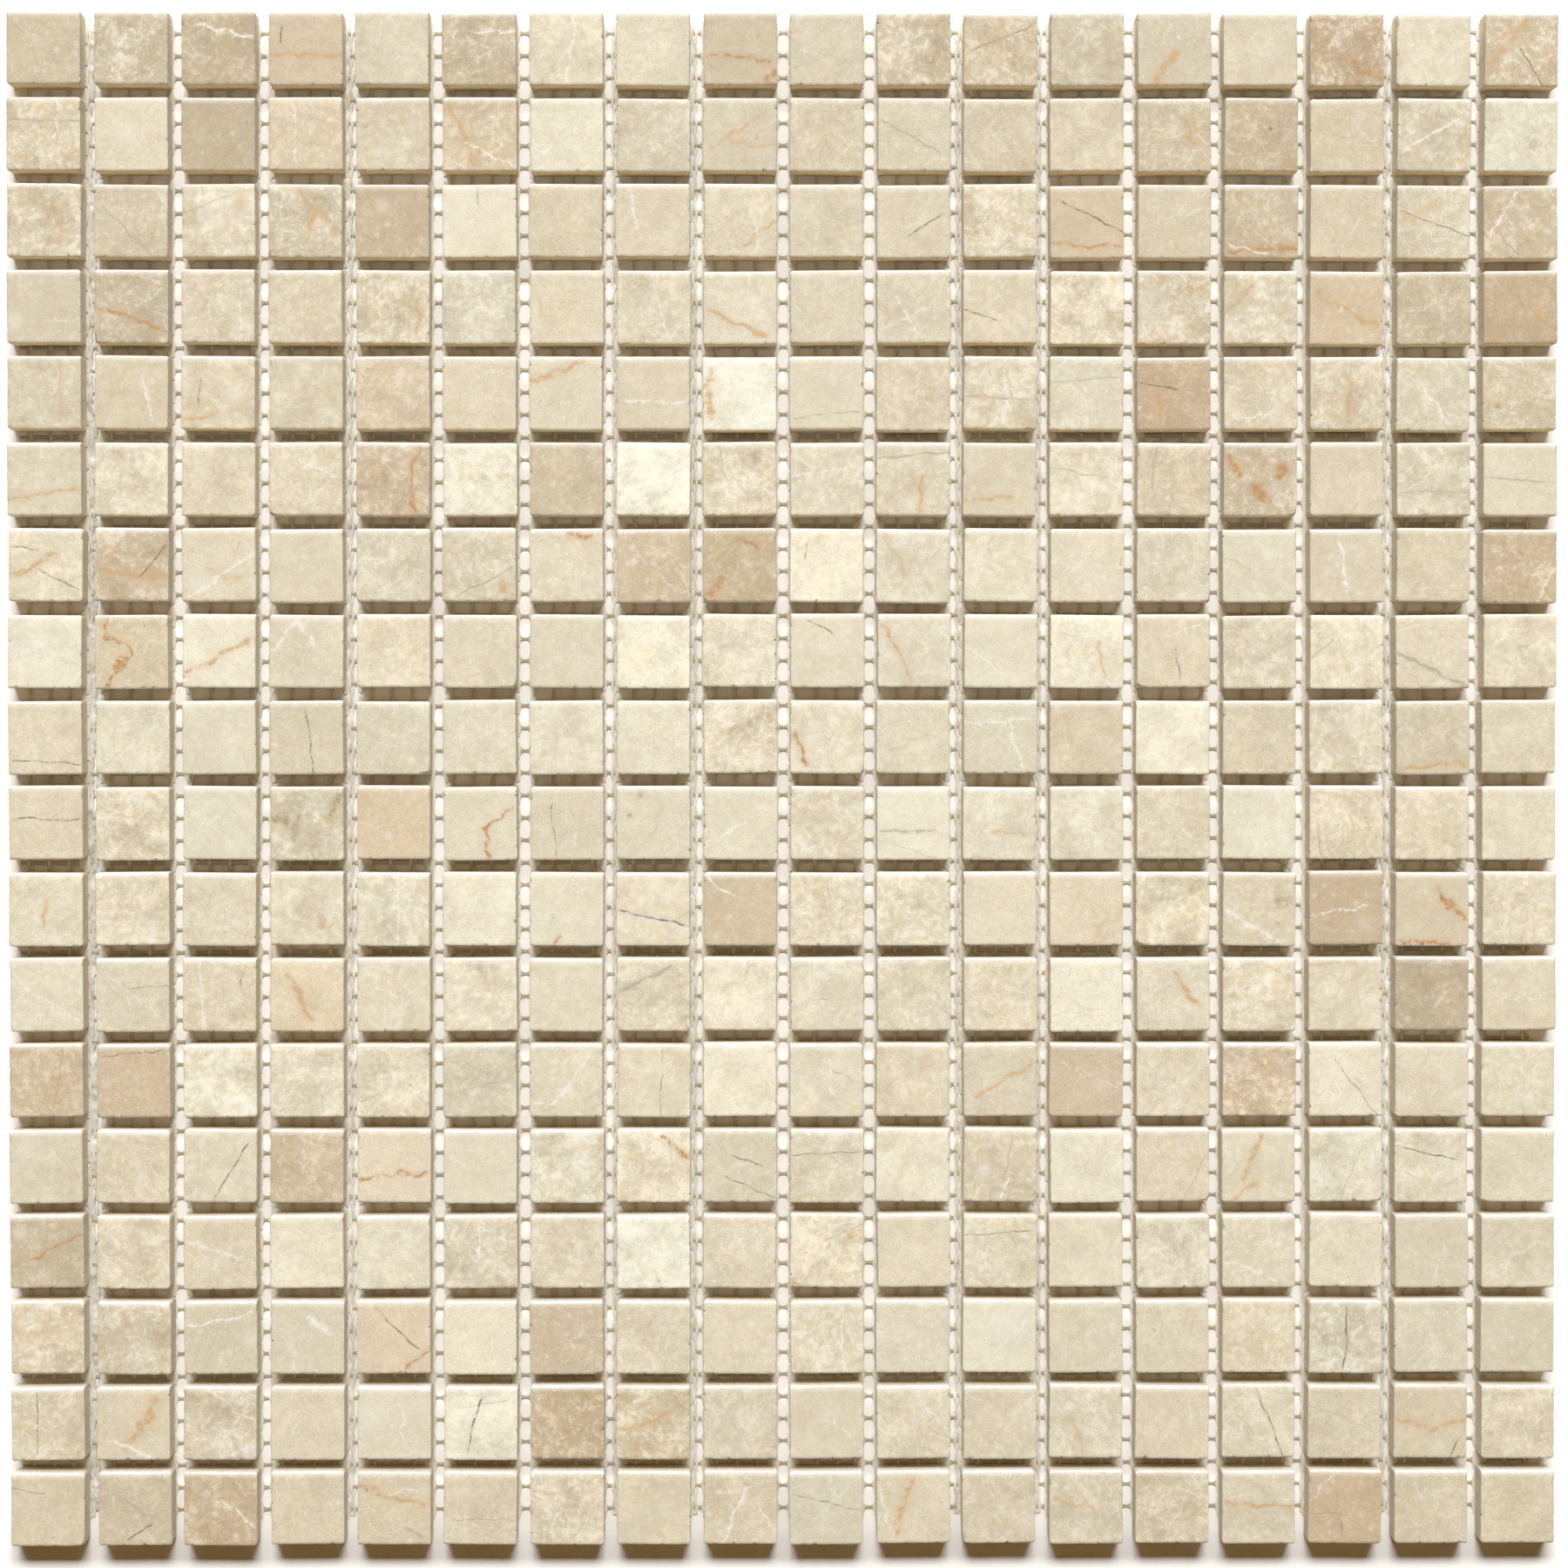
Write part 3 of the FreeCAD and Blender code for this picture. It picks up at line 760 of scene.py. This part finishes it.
def make_weft(material, joints, draw):
    """The weft: each yarn crosses the sheet with its steps at the joints between the
    columns, where glue widens it against the chips' feet on both sides. The steps and
    the glue on the west side of a joint are mirrored to its east side."""
    boxes = yarn_boxes("net_weft", 1)
    west, east = boxes[:, 0, 0].min(), boxes[:, 1, 0].max()
    steps, glue = [[west, west + END_STEP]], [[0.0, 0.0]]
    for joint_west, joint_east in joints:
        middle = (joint_west + joint_east) / 2
        ramp = joint_west + GLUE_AT
        steps.append(np.concatenate([ramp, [middle], 2 * middle - ramp[::-1]]))
        glue.append(np.concatenate([GLUE_RAMP, GLUE_RAMP[-2::-1]]))
    steps = np.concatenate(steps + [[east - END_STEP, east]])
    glue = np.concatenate(glue + [[0.0, 0.0]])
    yarns, count = len(boxes), len(steps)
    middle = boxes.mean(1)
    paths = np.empty((yarns, count, 3))
    paths[..., 0] = steps
    paths[..., 1] = middle[:, 1:2] + WEFT_CLIMB * steps
    paths[..., 1] += ripple(draw, yarns, steps / (east - west), WEFT_WAVES, YARN_RIPPLE)
    paths[..., 2] = middle[:, 2:3]
    stuck = glue * draw.uniform(*GLUE_SPREAD, (yarns, count))
    widths = WEFT_WIDTH * draw.uniform(*WIDTH_SPREAD, (yarns, count)) + GLUE_WIDTH * stuck
    points, faces = tubes(paths, widths, WEFT_THICKNESS * (1 + GLUE_SWELLING * stuck))
    attributes = {"yarn_glue": ("FLOAT", "value", np.repeat(stuck.ravel(), YARN_SIDES))}
    add_piece("weft_yarns", points, faces, attributes, material, "net", ["net_weft"])


def make_warp(name, node, side, lines, ends, wefts, joints, material, draw):
    """Some of the warp's yarns of one layer. Each swings from one side of its line to
    the other from weft to weft, as a cosine, and keeps over the wefts, or under them,
    while its partner does the opposite. Half way between two wefts they change sides,
    and there each has dipped past the other, as a cosine of twice the pace."""
    pitch = (wefts[-1] - wefts[0]) / (len(wefts) - 1)
    run = np.arange(0, len(wefts) - 1 + 0.5 / STEPS_PER_MESH, 1 / STEPS_PER_MESH)
    run = np.concatenate([[(ends[0] - wefts[0]) / pitch], run, [(ends[1] - wefts[0]) / pitch]])
    yarns, count = len(lines), len(run)
    paths = np.empty((yarns, count, 3))
    paths[..., 0] = (lines + np.interp(lines, DRIFT_AT, DRIFT_BY))[:, None]
    paths[..., 0] += side * WARP_SWING * np.cos(math.pi * run)
    paths[..., 0] += ripple(draw, yarns, run / run[-1], WARP_WAVES, YARN_RIPPLE)
    paths[..., 1] = wefts[0] + run * pitch + WEFT_CLIMB * lines[:, None]
    mean_lift, lift_swing = (LIFT_AT_WEFT + LIFT_AT_TWIST) / 2, (LIFT_AT_WEFT - LIFT_AT_TWIST) / 2
    paths[..., 2] = NET_MIDDLE + side * (mean_lift + lift_swing * np.cos(2 * math.pi * run))
    knot = np.cos(2 * math.pi * run).clip(0, 1) * draw.uniform(*KNOT_SPREAD, (yarns, count))
    widths = WARP_WIDTH * draw.uniform(*WIDTH_SPREAD, (yarns, count)) * (1 + knot)
    points, faces = tubes(paths, widths, np.full((yarns, count), WARP_THICKNESS))
    # Warp yarns away from the joints store no glue and take its painted shade
    past_west = lines[:, None] > joints[:, 0] - GLUED_BESIDE_JOINT
    before_east = lines[:, None] < joints[:, 1] + GLUED_BESIDE_JOINT
    stuck = np.repeat((past_west & before_east).any(1), count * YARN_SIDES)
    add_piece(name, points, faces, {"yarn_glue": ("FLOAT", "value", stuck)}, material, "net", [node])


def make_glue(material, draw):
    """Glue that was left thick along a few lines of the warp: strands whose width
    swells and shrinks, as a sum of waves raised to a power, so that lumps are few."""
    low, high = yarn_boxes("net_warp_over", 0)[0]
    across, amount = np.array(GLUE_LINES).T[..., None]
    count = len(GLUE_LINES)
    share = np.linspace(0, 1, GLUE_STEPS)
    swell = SWELL_LEVEL + ripple(draw, count, share, SWELL_WAVES, SWELL_RIPPLE)
    paths = np.empty((count, GLUE_STEPS, 3))
    paths[..., 0] = across + ripple(draw, count, share, WANDER_WAVES, GLUE_WANDER)
    paths[..., 1] = np.linspace(low[1] + END_STEP, high[1] - END_STEP, GLUE_STEPS)
    widths = amount * swell.clip(LEAST_WIDE, 1) ** SWELL_POWER
    thicknesses = GLUE_THICKNESS * swell.clip(LEAST_THICK, 1)
    paths[..., 2] = GLUE_FOOT + thicknesses / 2
    points, faces = tubes(paths, widths, thicknesses)
    add_piece("glue_lumps", points, faces, {}, material, "net", ["net_warp_over"])


# Materials

class Wire:
    """An output socket in a material's node tree. Arithmetic on it adds Math nodes,
    and node() adds any other node to the same tree."""

    def __init__(self, tree, socket):
        self.tree = tree
        self.socket = socket

    def node(self, kind, settings, inputs, output=0):
        """Adds a node of a type, sets its settings, then the values or links of its
        inputs by name or number, and gives one of its outputs, if it has any."""
        made = self.tree.nodes.new("ShaderNode" + kind)
        for name, value in settings.items():
            setattr(made, name, value)
        for key, value in inputs.items():
            if isinstance(value, Wire):
                self.tree.links.new(value.socket, made.inputs[key])
            else:
                made.inputs[key].default_value = value
        return Wire(self.tree, made.outputs[output] if made.outputs else None)

    def outputs(self, kind, settings, inputs, *names):
        """Several outputs of one node."""
        first = self.node(kind, settings, inputs, names[0])
        return [Wire(self.tree, first.socket.node.outputs[name]) for name in names]

    def maths(self, operation, *others):
        """A Math node's result of this value and others."""
        return self.node("Math", {"operation": operation}, dict(enumerate((self,) + others)))

    def __add__(self, other):
        return self.maths("ADD", other)

    __radd__ = __add__

    def __sub__(self, other):
        return self.maths("SUBTRACT", other)

    def __rsub__(self, other):
        return self.node("Math", {"operation": "SUBTRACT"}, {0: other, 1: self})

    def __mul__(self, other):
        return self.maths("MULTIPLY", other)

    __rmul__ = __mul__

    def __truediv__(self, other):
        return self.maths("DIVIDE", other)

    def __abs__(self):
        return self.maths("ABSOLUTE")

    def ease(self, low, high):
        """0 below low, 1 above high and smooth between; the other way round where low
        is the larger."""
        if isinstance(low, Wire) or isinstance(high, Wire) or low < high:
            inputs = {"Value": self, "From Min": low, "From Max": high}
            return self.node("MapRange", {"interpolation_type": "SMOOTHSTEP"}, inputs)
        return 1 - self.ease(high, low)

    def noise(self, scale, detail, roughness, output="Fac"):
        """Noise at this place: a value from 0 to 1, or three of them as a colour."""
        inputs = {"Vector": self, "Scale": scale, "Detail": detail, "Roughness": roughness}
        return self.node("TexNoise", {}, inputs, output)

    def shifted(self, other):
        """This vector and another added up."""
        return self.node("VectorMath", {"operation": "ADD"}, {0: self, 1: other})

    def scaled(self, factor):
        """This vector times a number."""
        return self.node("VectorMath", {"operation": "SCALE"}, {0: self, "Scale": factor})

    def stretched(self, scale):
        """This vector with each of its three parts times its own number."""
        return self.node("Mapping", {}, {"Vector": self, "Scale": scale})

    def parts(self):
        """The three parts of this vector or colour."""
        return self.outputs("SeparateXYZ", {}, {"Vector": self}, "X", "Y", "Z")

    def between(self, colour, other):
        """One colour where this is 0, another where it is 1, and mixed between."""
        mix = {"data_type": "RGBA", "clamp_factor": True}
        return self.node("Mix", mix, {0: self, 6: colour, 7: other}, 2)

    def toward(self, colour, share):
        """This colour mixed toward another by a share."""
        return share.between(self, colour)

    def times(self, red, green, blue):
        """This colour with its red, green and blue made lighter or darker by values."""
        factors = self.node("CombineXYZ", {}, {0: red, 1: green, 2: blue})
        return self.node("VectorMath", {"operation": "MULTIPLY"}, {0: self, 1: factors})


def new_material(name):
    """A new material, and a Wire by which nodes are added to its empty tree."""
    material = bpy.data.materials.new(name)
    material.use_nodes = True
    tree = material.node_tree
    tree.nodes.clear()
    return material, Wire(tree, None)


def finish_material(start, constants, links):
    """Adds the shader, sets its constant sockets, links the ones that vary, and ends
    the tree."""
    shader = start.node("BsdfPrincipled", {}, {**constants, **links})
    start.node("OutputMaterial", {}, {"Surface": shader})


def attribute(start, name, output="Vector"):
    """What a mesh stores on its points under a name."""
    return start.node("Attribute", {"attribute_name": name}, {}, output)


def stain_of(start, name):
    """A stain's colour and its cover, stored as one colour with alpha."""
    return start.outputs("Attribute", {"attribute_name": name}, {}, "Color", "Alpha")


def stone_pattern(start):
    """Where a point is on its chip, and the noises there. They are read at the place
    that the chip had in its block: a slow push in three directions, clouds and mottle
    at the place that the push moves to, and fine grain."""
    place = attribute(start, "stone_place")
    stone = place.shifted(attribute(start, "stone_block"))
    east, north = place.parts()[:2]
    push = stone.noise(*PUSH, "Color").parts()
    flow = stone.shifted(start.node("CombineXYZ", {}, dict(enumerate(push))).scaled(PUSHED_BY))
    return SimpleNamespace(
        stone=stone, east=east, north=north, push=push,
        clouds=flow.noise(*CLOUDS), mottle=flow.noise(*MOTTLE), grain=stone.noise(*GRAIN),
    )


def clouded(tone, look, cloudy):
    """A chip's tone under soft clouds: lighter and darker as clouds, mottle and grain
    are above or below their middle, with red and blue following as they do from chip
    to chip, a blush where push and clouds are high, and pale shells where the three
    noises together are high. A cloudier chip has more of each."""
    light = (look.clouds - 0.5) * (0.28 + cloudy * 0.85) + (look.mottle - 0.5) * (0.28 + cloudy * 0.62)
    light = light + (look.grain - 0.5) * 0.66
    blush = (look.push[2] + look.clouds - 0.94).maths("MAXIMUM", -0.04) * (0.30 + cloudy * 0.60)
    hue = [1.0 + light * follow + blush * turn for follow, turn in zip(FOLLOW, BLUSH)]
    shells = (look.mottle * 0.60 + look.clouds * 0.30 + look.grain * 0.10).ease(0.50, 0.62)
    return tone.times(*hue).toward(PALE_SHELL, shells * (0.05 + cloudy * 0.50))


def with_hairlines(colour, look, hairy):
    """Hairlines where the clouds are at one level, in patches that the push leaves:
    white ones on the hairy chips and dark ones on the others."""
    white = abs(look.clouds - 0.47).ease(0.0075, 0.0) * look.push[0].ease(0.50, 0.60)
    colour = colour.toward(WHITE_LINE, white * hairy.ease(0.4, 1.0) * 0.50)
    dark = abs(look.clouds - 0.56).ease(0.0040, 0.0) * look.push[1].ease(0.55, 0.64)
    return colour.toward(DARK_LINE, dark * hairy.ease(0.6, 0.2) * 0.50)


def vein_band(place, size, look, bend, ragged, crumbs):
    """How much a vein covers a point of the stone: a band about a line, wider and
    narrower as the stone is ragged, in a faint halo, that fades at the line's ends.
    The more it wanders, the more of it crumbles away."""
    x, y, angle = place.parts()
    half_length, width, wander = size.parts()
    along_x, along_y = angle.maths("COSINE"), angle.maths("SINE")
    off_x, off_y = look.east - x, look.north - y
    across = off_y * along_x - off_x * along_y + bend * wander
    along = off_x * along_x + off_y * along_y
    away = abs(across) / (width * ragged)
    band = away.ease(1.0, 0.2) * (1 - wander * crumbs) + away.ease(3.2, 0.3) * wander * 0.42
    return band * (abs(along) - half_length).ease(0.7, -0.5)


def with_veins(start, colour, look, broken, crumbs):
    """The chip's own veins, one over the other, bent and ragged as the stone is."""
    bend = (look.push[0] - look.push[1]) * 2.6 + (look.mottle - 0.5) * 1.3 + (look.grain - 0.5) * 0.35
    ragged = 0.45 + look.mottle.ease(0.36, 0.62) * 0.8 + (look.grain - 0.5) * 0.9
    for slot in range(VEIN_SLOTS):
        name = "vein_%d_" % (slot + 1)
        stain, cover = stain_of(start, name + "stain")
        place, size = attribute(start, name + "place"), attribute(start, name + "size")
        band = vein_band(place, size, look, bend, ragged, crumbs)
        colour = colour.toward(stain, band * cover * broken)
    return colour


def with_spot(start, colour, look, broken):
    """The chip's own spot: full well inside its radius, fading a little past it, with
    the distance from its middle made uneven by the noises."""
    x, y, radius = attribute(start, "spot_place").parts()
    off_x, off_y = look.east - x, look.north - y
    away = (off_x * off_x + off_y * off_y).maths("SQRT") / radius
    away = away + (look.mottle - 0.5) * 3.4 + (look.clouds - 0.5) * 1.6 + (look.grain - 0.5) * 0.8
    stain, cover = stain_of(start, "spot_stain")
    return colour.toward(stain, away.ease(1.25, 0.25) * cover * broken)


def with_specks(start, colour, look, speckled, crumbs):
    """In cells through the stone, drawn by the cell's own colour: crumbling pale voids
    in about half of them, and on speckled chips a dark dot at the middle of a few."""
    inputs = {"Vector": look.stone, "Scale": SPECK_CELLS}
    cell, cell_colour = start.outputs("TexVoronoi", {}, inputs, "Distance", "Color")
    kind, deep, strong = cell_colour.parts()
    pale = cell / (0.14 + deep * 0.30) + (look.mottle - 0.5) * 3.0 + (look.grain - 0.5) * 1.2
    pale = pale.ease(1.2, 0.2) * (1 - crumbs * 0.75) * kind.ease(0.50, 0.66)
    colour = colour.toward(PALE_VOID, pale * (0.15 + strong * 0.60))
    dots = (cell + (look.grain - 0.5) * 0.10).ease(0.080, 0.030) * kind.ease(0.20, 0.10)
    return colour.toward(DARK_DOT, dots * speckled.ease(0.1, 0.7) * 0.8)


def make_marble():
    """Cream marble: each chip's tone under clouds, then hairlines, the veins and spot
    of its own, specks, worn edges, sawn sides with painted shade, browner, on the south
    side, and a painted highlight on the north side. Saw marks are noise that is drawn out upright."""
    material, start = new_material("honed_marble")
    look = stone_pattern(start)
    cloudy, speckled, hairy = attribute(start, "stone_figure").parts()
    broken = 0.45 + look.mottle.ease(0.34, 0.54) * 0.55
    crumbs = (look.grain * 0.6 + look.mottle * 0.4).ease(0.55, 0.42)
    colour = clouded(attribute(start, "stone_tone", "Color"), look, cloudy)
    colour = with_hairlines(colour, look, hairy)
    colour = with_veins(start, colour, look, broken, crumbs)
    colour = with_spot(start, colour, look, broken)
    colour = with_specks(start, colour, look, speckled, crumbs)

    worn = (attribute(start, "stone_worn", "Fac") * 1.1 + (look.grain - 0.5) * 1.4 - 0.55).ease(0.05, 0.5)
    sawn = attribute(start, "stone_sawn", "Fac")
    bruised = attribute(start, "stone_painted_highlight", "Fac")
    colour = colour.toward(WORN_EDGE, worn * 0.60)
    colour = colour.toward(SAWN_SIDE, sawn * 0.85)
    # Painted shade: the south side, which lies in shade, is made browner
    colour = colour.toward(SOUTH_PAINTED_SHADE, sawn * look.north.ease(*SOUTH_PAINTED_SHADE_EDGE) * 0.80)
    # Painted highlight: the north edge and side, where the light falls, are made paler
    colour = colour.toward(NORTH_PAINTED_HIGHLIGHT, bruised * bruised * (0.75 + look.mottle * 0.5))
    saw = look.stone.stretched(SAW_STRETCH).noise(*SAW_MARKS)
    shade = 1.0 - sawn * (saw - 0.42) * 0.35
    relief = look.grain * (0.35 + sawn * 0.65)
    finish_material(start, {"IOR": 1.5, "Specular IOR Level": 0.28}, {
        "Base Color": colour.times(shade, shade, shade),
        "Roughness": 0.42 + look.grain * 0.14 + sawn * 0.32 + worn * 0.2,
        "Normal": start.node("Bump", {}, {"Strength": 0.5, "Distance": 0.16 * MM, "Height": relief}),
    })
    return material


def make_yarn(name, fineness, height, dry, glued, painted_shade=None):
    """Glass-fibre yarn under clear glue, or glue by itself: fine filaments along the
    yarn, greyer where the glue is thick, and browner as painted shadow and shade where a
    yarn stores no glue."""
    material, start = new_material(name)
    place = start.node("TexCoord", {}, {}, "Object")
    strands = place.stretched(fineness).noise(*STRANDS)
    wet = place.noise(*WETNESS)
    colour = wet.ease(0.46, 0.66).between(dry, glued)
    if painted_shade:
        # Painted shadow and shade: yarn with no glue, in the shaded joints and the middle of the lit ones,
        # is made browner
        colour = attribute(start, "yarn_glue", "Fac").ease(0.02, 0.40).between(painted_shade, colour)
    shade = 0.90 + strands * 0.16
    finish_material(start, {"Specular IOR Level": 0.3, "Coat Roughness": 0.15, "Coat Weight": 0.15}, {
        "Base Color": colour.times(shade, shade, shade),
        "Roughness": 0.30 + wet * 0.25,
        "Normal": start.node("Bump", {}, {"Strength": 0.5, "Distance": height, "Height": strands}),
    })
    return material


def seen_directly(start):
    """1 for rays that the camera, a reflection or clear stuff sends, else 0."""
    names = ["Is Camera Ray", "Is Glossy Ray", "Is Transmission Ray"]
    camera, glossy, clear = start.outputs("LightPath", {}, {}, *names)
    return camera.maths("MAXIMUM", glossy).maths("MAXIMUM", clear)


def make_floor_material():
    """White paper: the camera sees it a little whiter than it is, so that it is white
    in the open and still carries the sheet's shadow."""
    material, start = new_material("white_paper")
    paper = start.node("BsdfDiffuse", {}, {"Color": PAPER})
    seen = start.node("BsdfDiffuse", {}, {"Color": PAPER_SEEN})
    surface = start.node("MixShader", {}, {0: seen_directly(start), 1: paper, 2: seen})
    start.node("OutputMaterial", {}, {"Surface": surface})
    return material


# Stage

def make_floor():
    """A square of paper under the sheet."""
    mesh = bpy.data.meshes.new("floor")
    signs = np.array([(-1, -1), (1, -1), (1, 1), (-1, 1)])
    mesh.from_pydata(np.c_[signs * FLOOR_SIDE, np.full(4, -FLOOR_DROP)], [], [(0, 1, 2, 3)])
    mesh.materials.append(make_floor_material())
    floor = bpy.data.objects.new("floor", mesh)
    bpy.context.scene.collection.objects.link(floor)


def make_lamp(name, elevation, size, strength):
    """A wide lamp in the north, turned to the sheet, that lights a face turned to it
    with the strength given, in watts a square metre."""
    lamp = bpy.data.lights.new(name, "AREA")
    lamp.shape = "RECTANGLE"
    lamp.size, lamp.size_y = size
    lamp.energy = strength * math.pi * LAMP_DISTANCE ** 2
    lamp.color = LAMP_COLOUR
    spot = bpy.data.objects.new(name, lamp)
    spot.location = (0, LAMP_DISTANCE * math.cos(elevation), LAMP_DISTANCE * math.sin(elevation))
    spot.rotation_euler = (elevation - math.pi / 2, 0, 0)
    bpy.context.scene.collection.objects.link(spot)


def make_light():
    """A high wide lamp and a weaker low one, both in the north, in a dim warm room
    that is seen as white."""
    make_lamp("high_lamp", *HIGH_LAMP)
    make_lamp("low_lamp", *LOW_LAMP)
    world = bpy.data.worlds.new("white_room")
    world.use_nodes = True
    world.node_tree.nodes.clear()
    start = Wire(world.node_tree, None)
    white = seen_directly(start)
    strength = white * (1 - SKY_STRENGTH) + SKY_STRENGTH
    colour = white.between(SKY_COLOUR, (1, 1, 1, 1))
    background = start.node("Background", {}, {"Color": colour, "Strength": strength})
    start.node("OutputWorld", {}, {"Surface": background})
    bpy.context.scene.world = world


def make_camera():
    """Straight above and a little north-west of the middle, leaning to look at it,
    with the picture's upper side to the north."""
    data = bpy.data.cameras.new("camera")
    data.lens = LENS
    data.sensor_width = SENSOR
    data.clip_start, data.clip_end = SEEN_FROM_TO
    camera = bpy.data.objects.new("camera", data)
    aim = Vector((*AIM, cad_high[2]))
    spot = aim + Vector(CAMERA_FROM_AIM)
    back = (spot - aim).normalized()
    right = Vector((0, 1, 0)).cross(back).normalized()
    turn = Matrix((right, back.cross(right), back)).transposed()
    camera.matrix_world = Matrix.Translation(spot) @ turn.to_4x4()
    bpy.context.scene.collection.objects.link(camera)
    bpy.context.scene.camera = camera


# Building

draw = np.random.RandomState(SEED)
marble = make_marble()
rows = [make_chip_row(row + 1, marble, draw) for row in range(ROWS)]

centres = np.array([[place.origin[0] for place in places] for places in rows]).mean(0)
halves = np.array([[place.half[0] for place in places] for places in rows]).mean(0)
joints = np.stack([(centres + halves)[:-1], (centres - halves)[1:]], 1)
weft_glass = make_yarn("weft_glass", WEFT_FILAMENTS, FILAMENT_HEIGHT, DRY_YARN, GLUED_YARN, WEFT_PAINTED_SHADOW)
make_weft(weft_glass, joints, draw)
make_glue(make_yarn("glue", LUMPS, LUMP_HEIGHT, CLEAR_GLUE, THICK_GLUE), draw)

warp_glass = make_yarn("warp_glass", WARP_FILAMENTS, FILAMENT_HEIGHT, DRY_YARN, GLUED_YARN, WARP_PAINTED_SHADE)
wefts = yarn_boxes("net_weft", 1).mean(1)[:, 1]
for node, side in (("net_warp_over", 1), ("net_warp_under", -1)):
    boxes = yarn_boxes(node, 0)
    lines, ends = boxes.mean(1)[:, 0], (boxes[0, 0, 1], boxes[0, 1, 1])
    for part, part_lines in zip(("west", "east"), np.array_split(lines, 2)):
        name = node.replace("net_", "") + "_" + part
        make_warp(name, node, side, part_lines, ends, wefts, joints, warp_glass, draw)

make_floor()
make_light()
make_camera()
bpy.context.scene.view_settings.view_transform = "Standard"
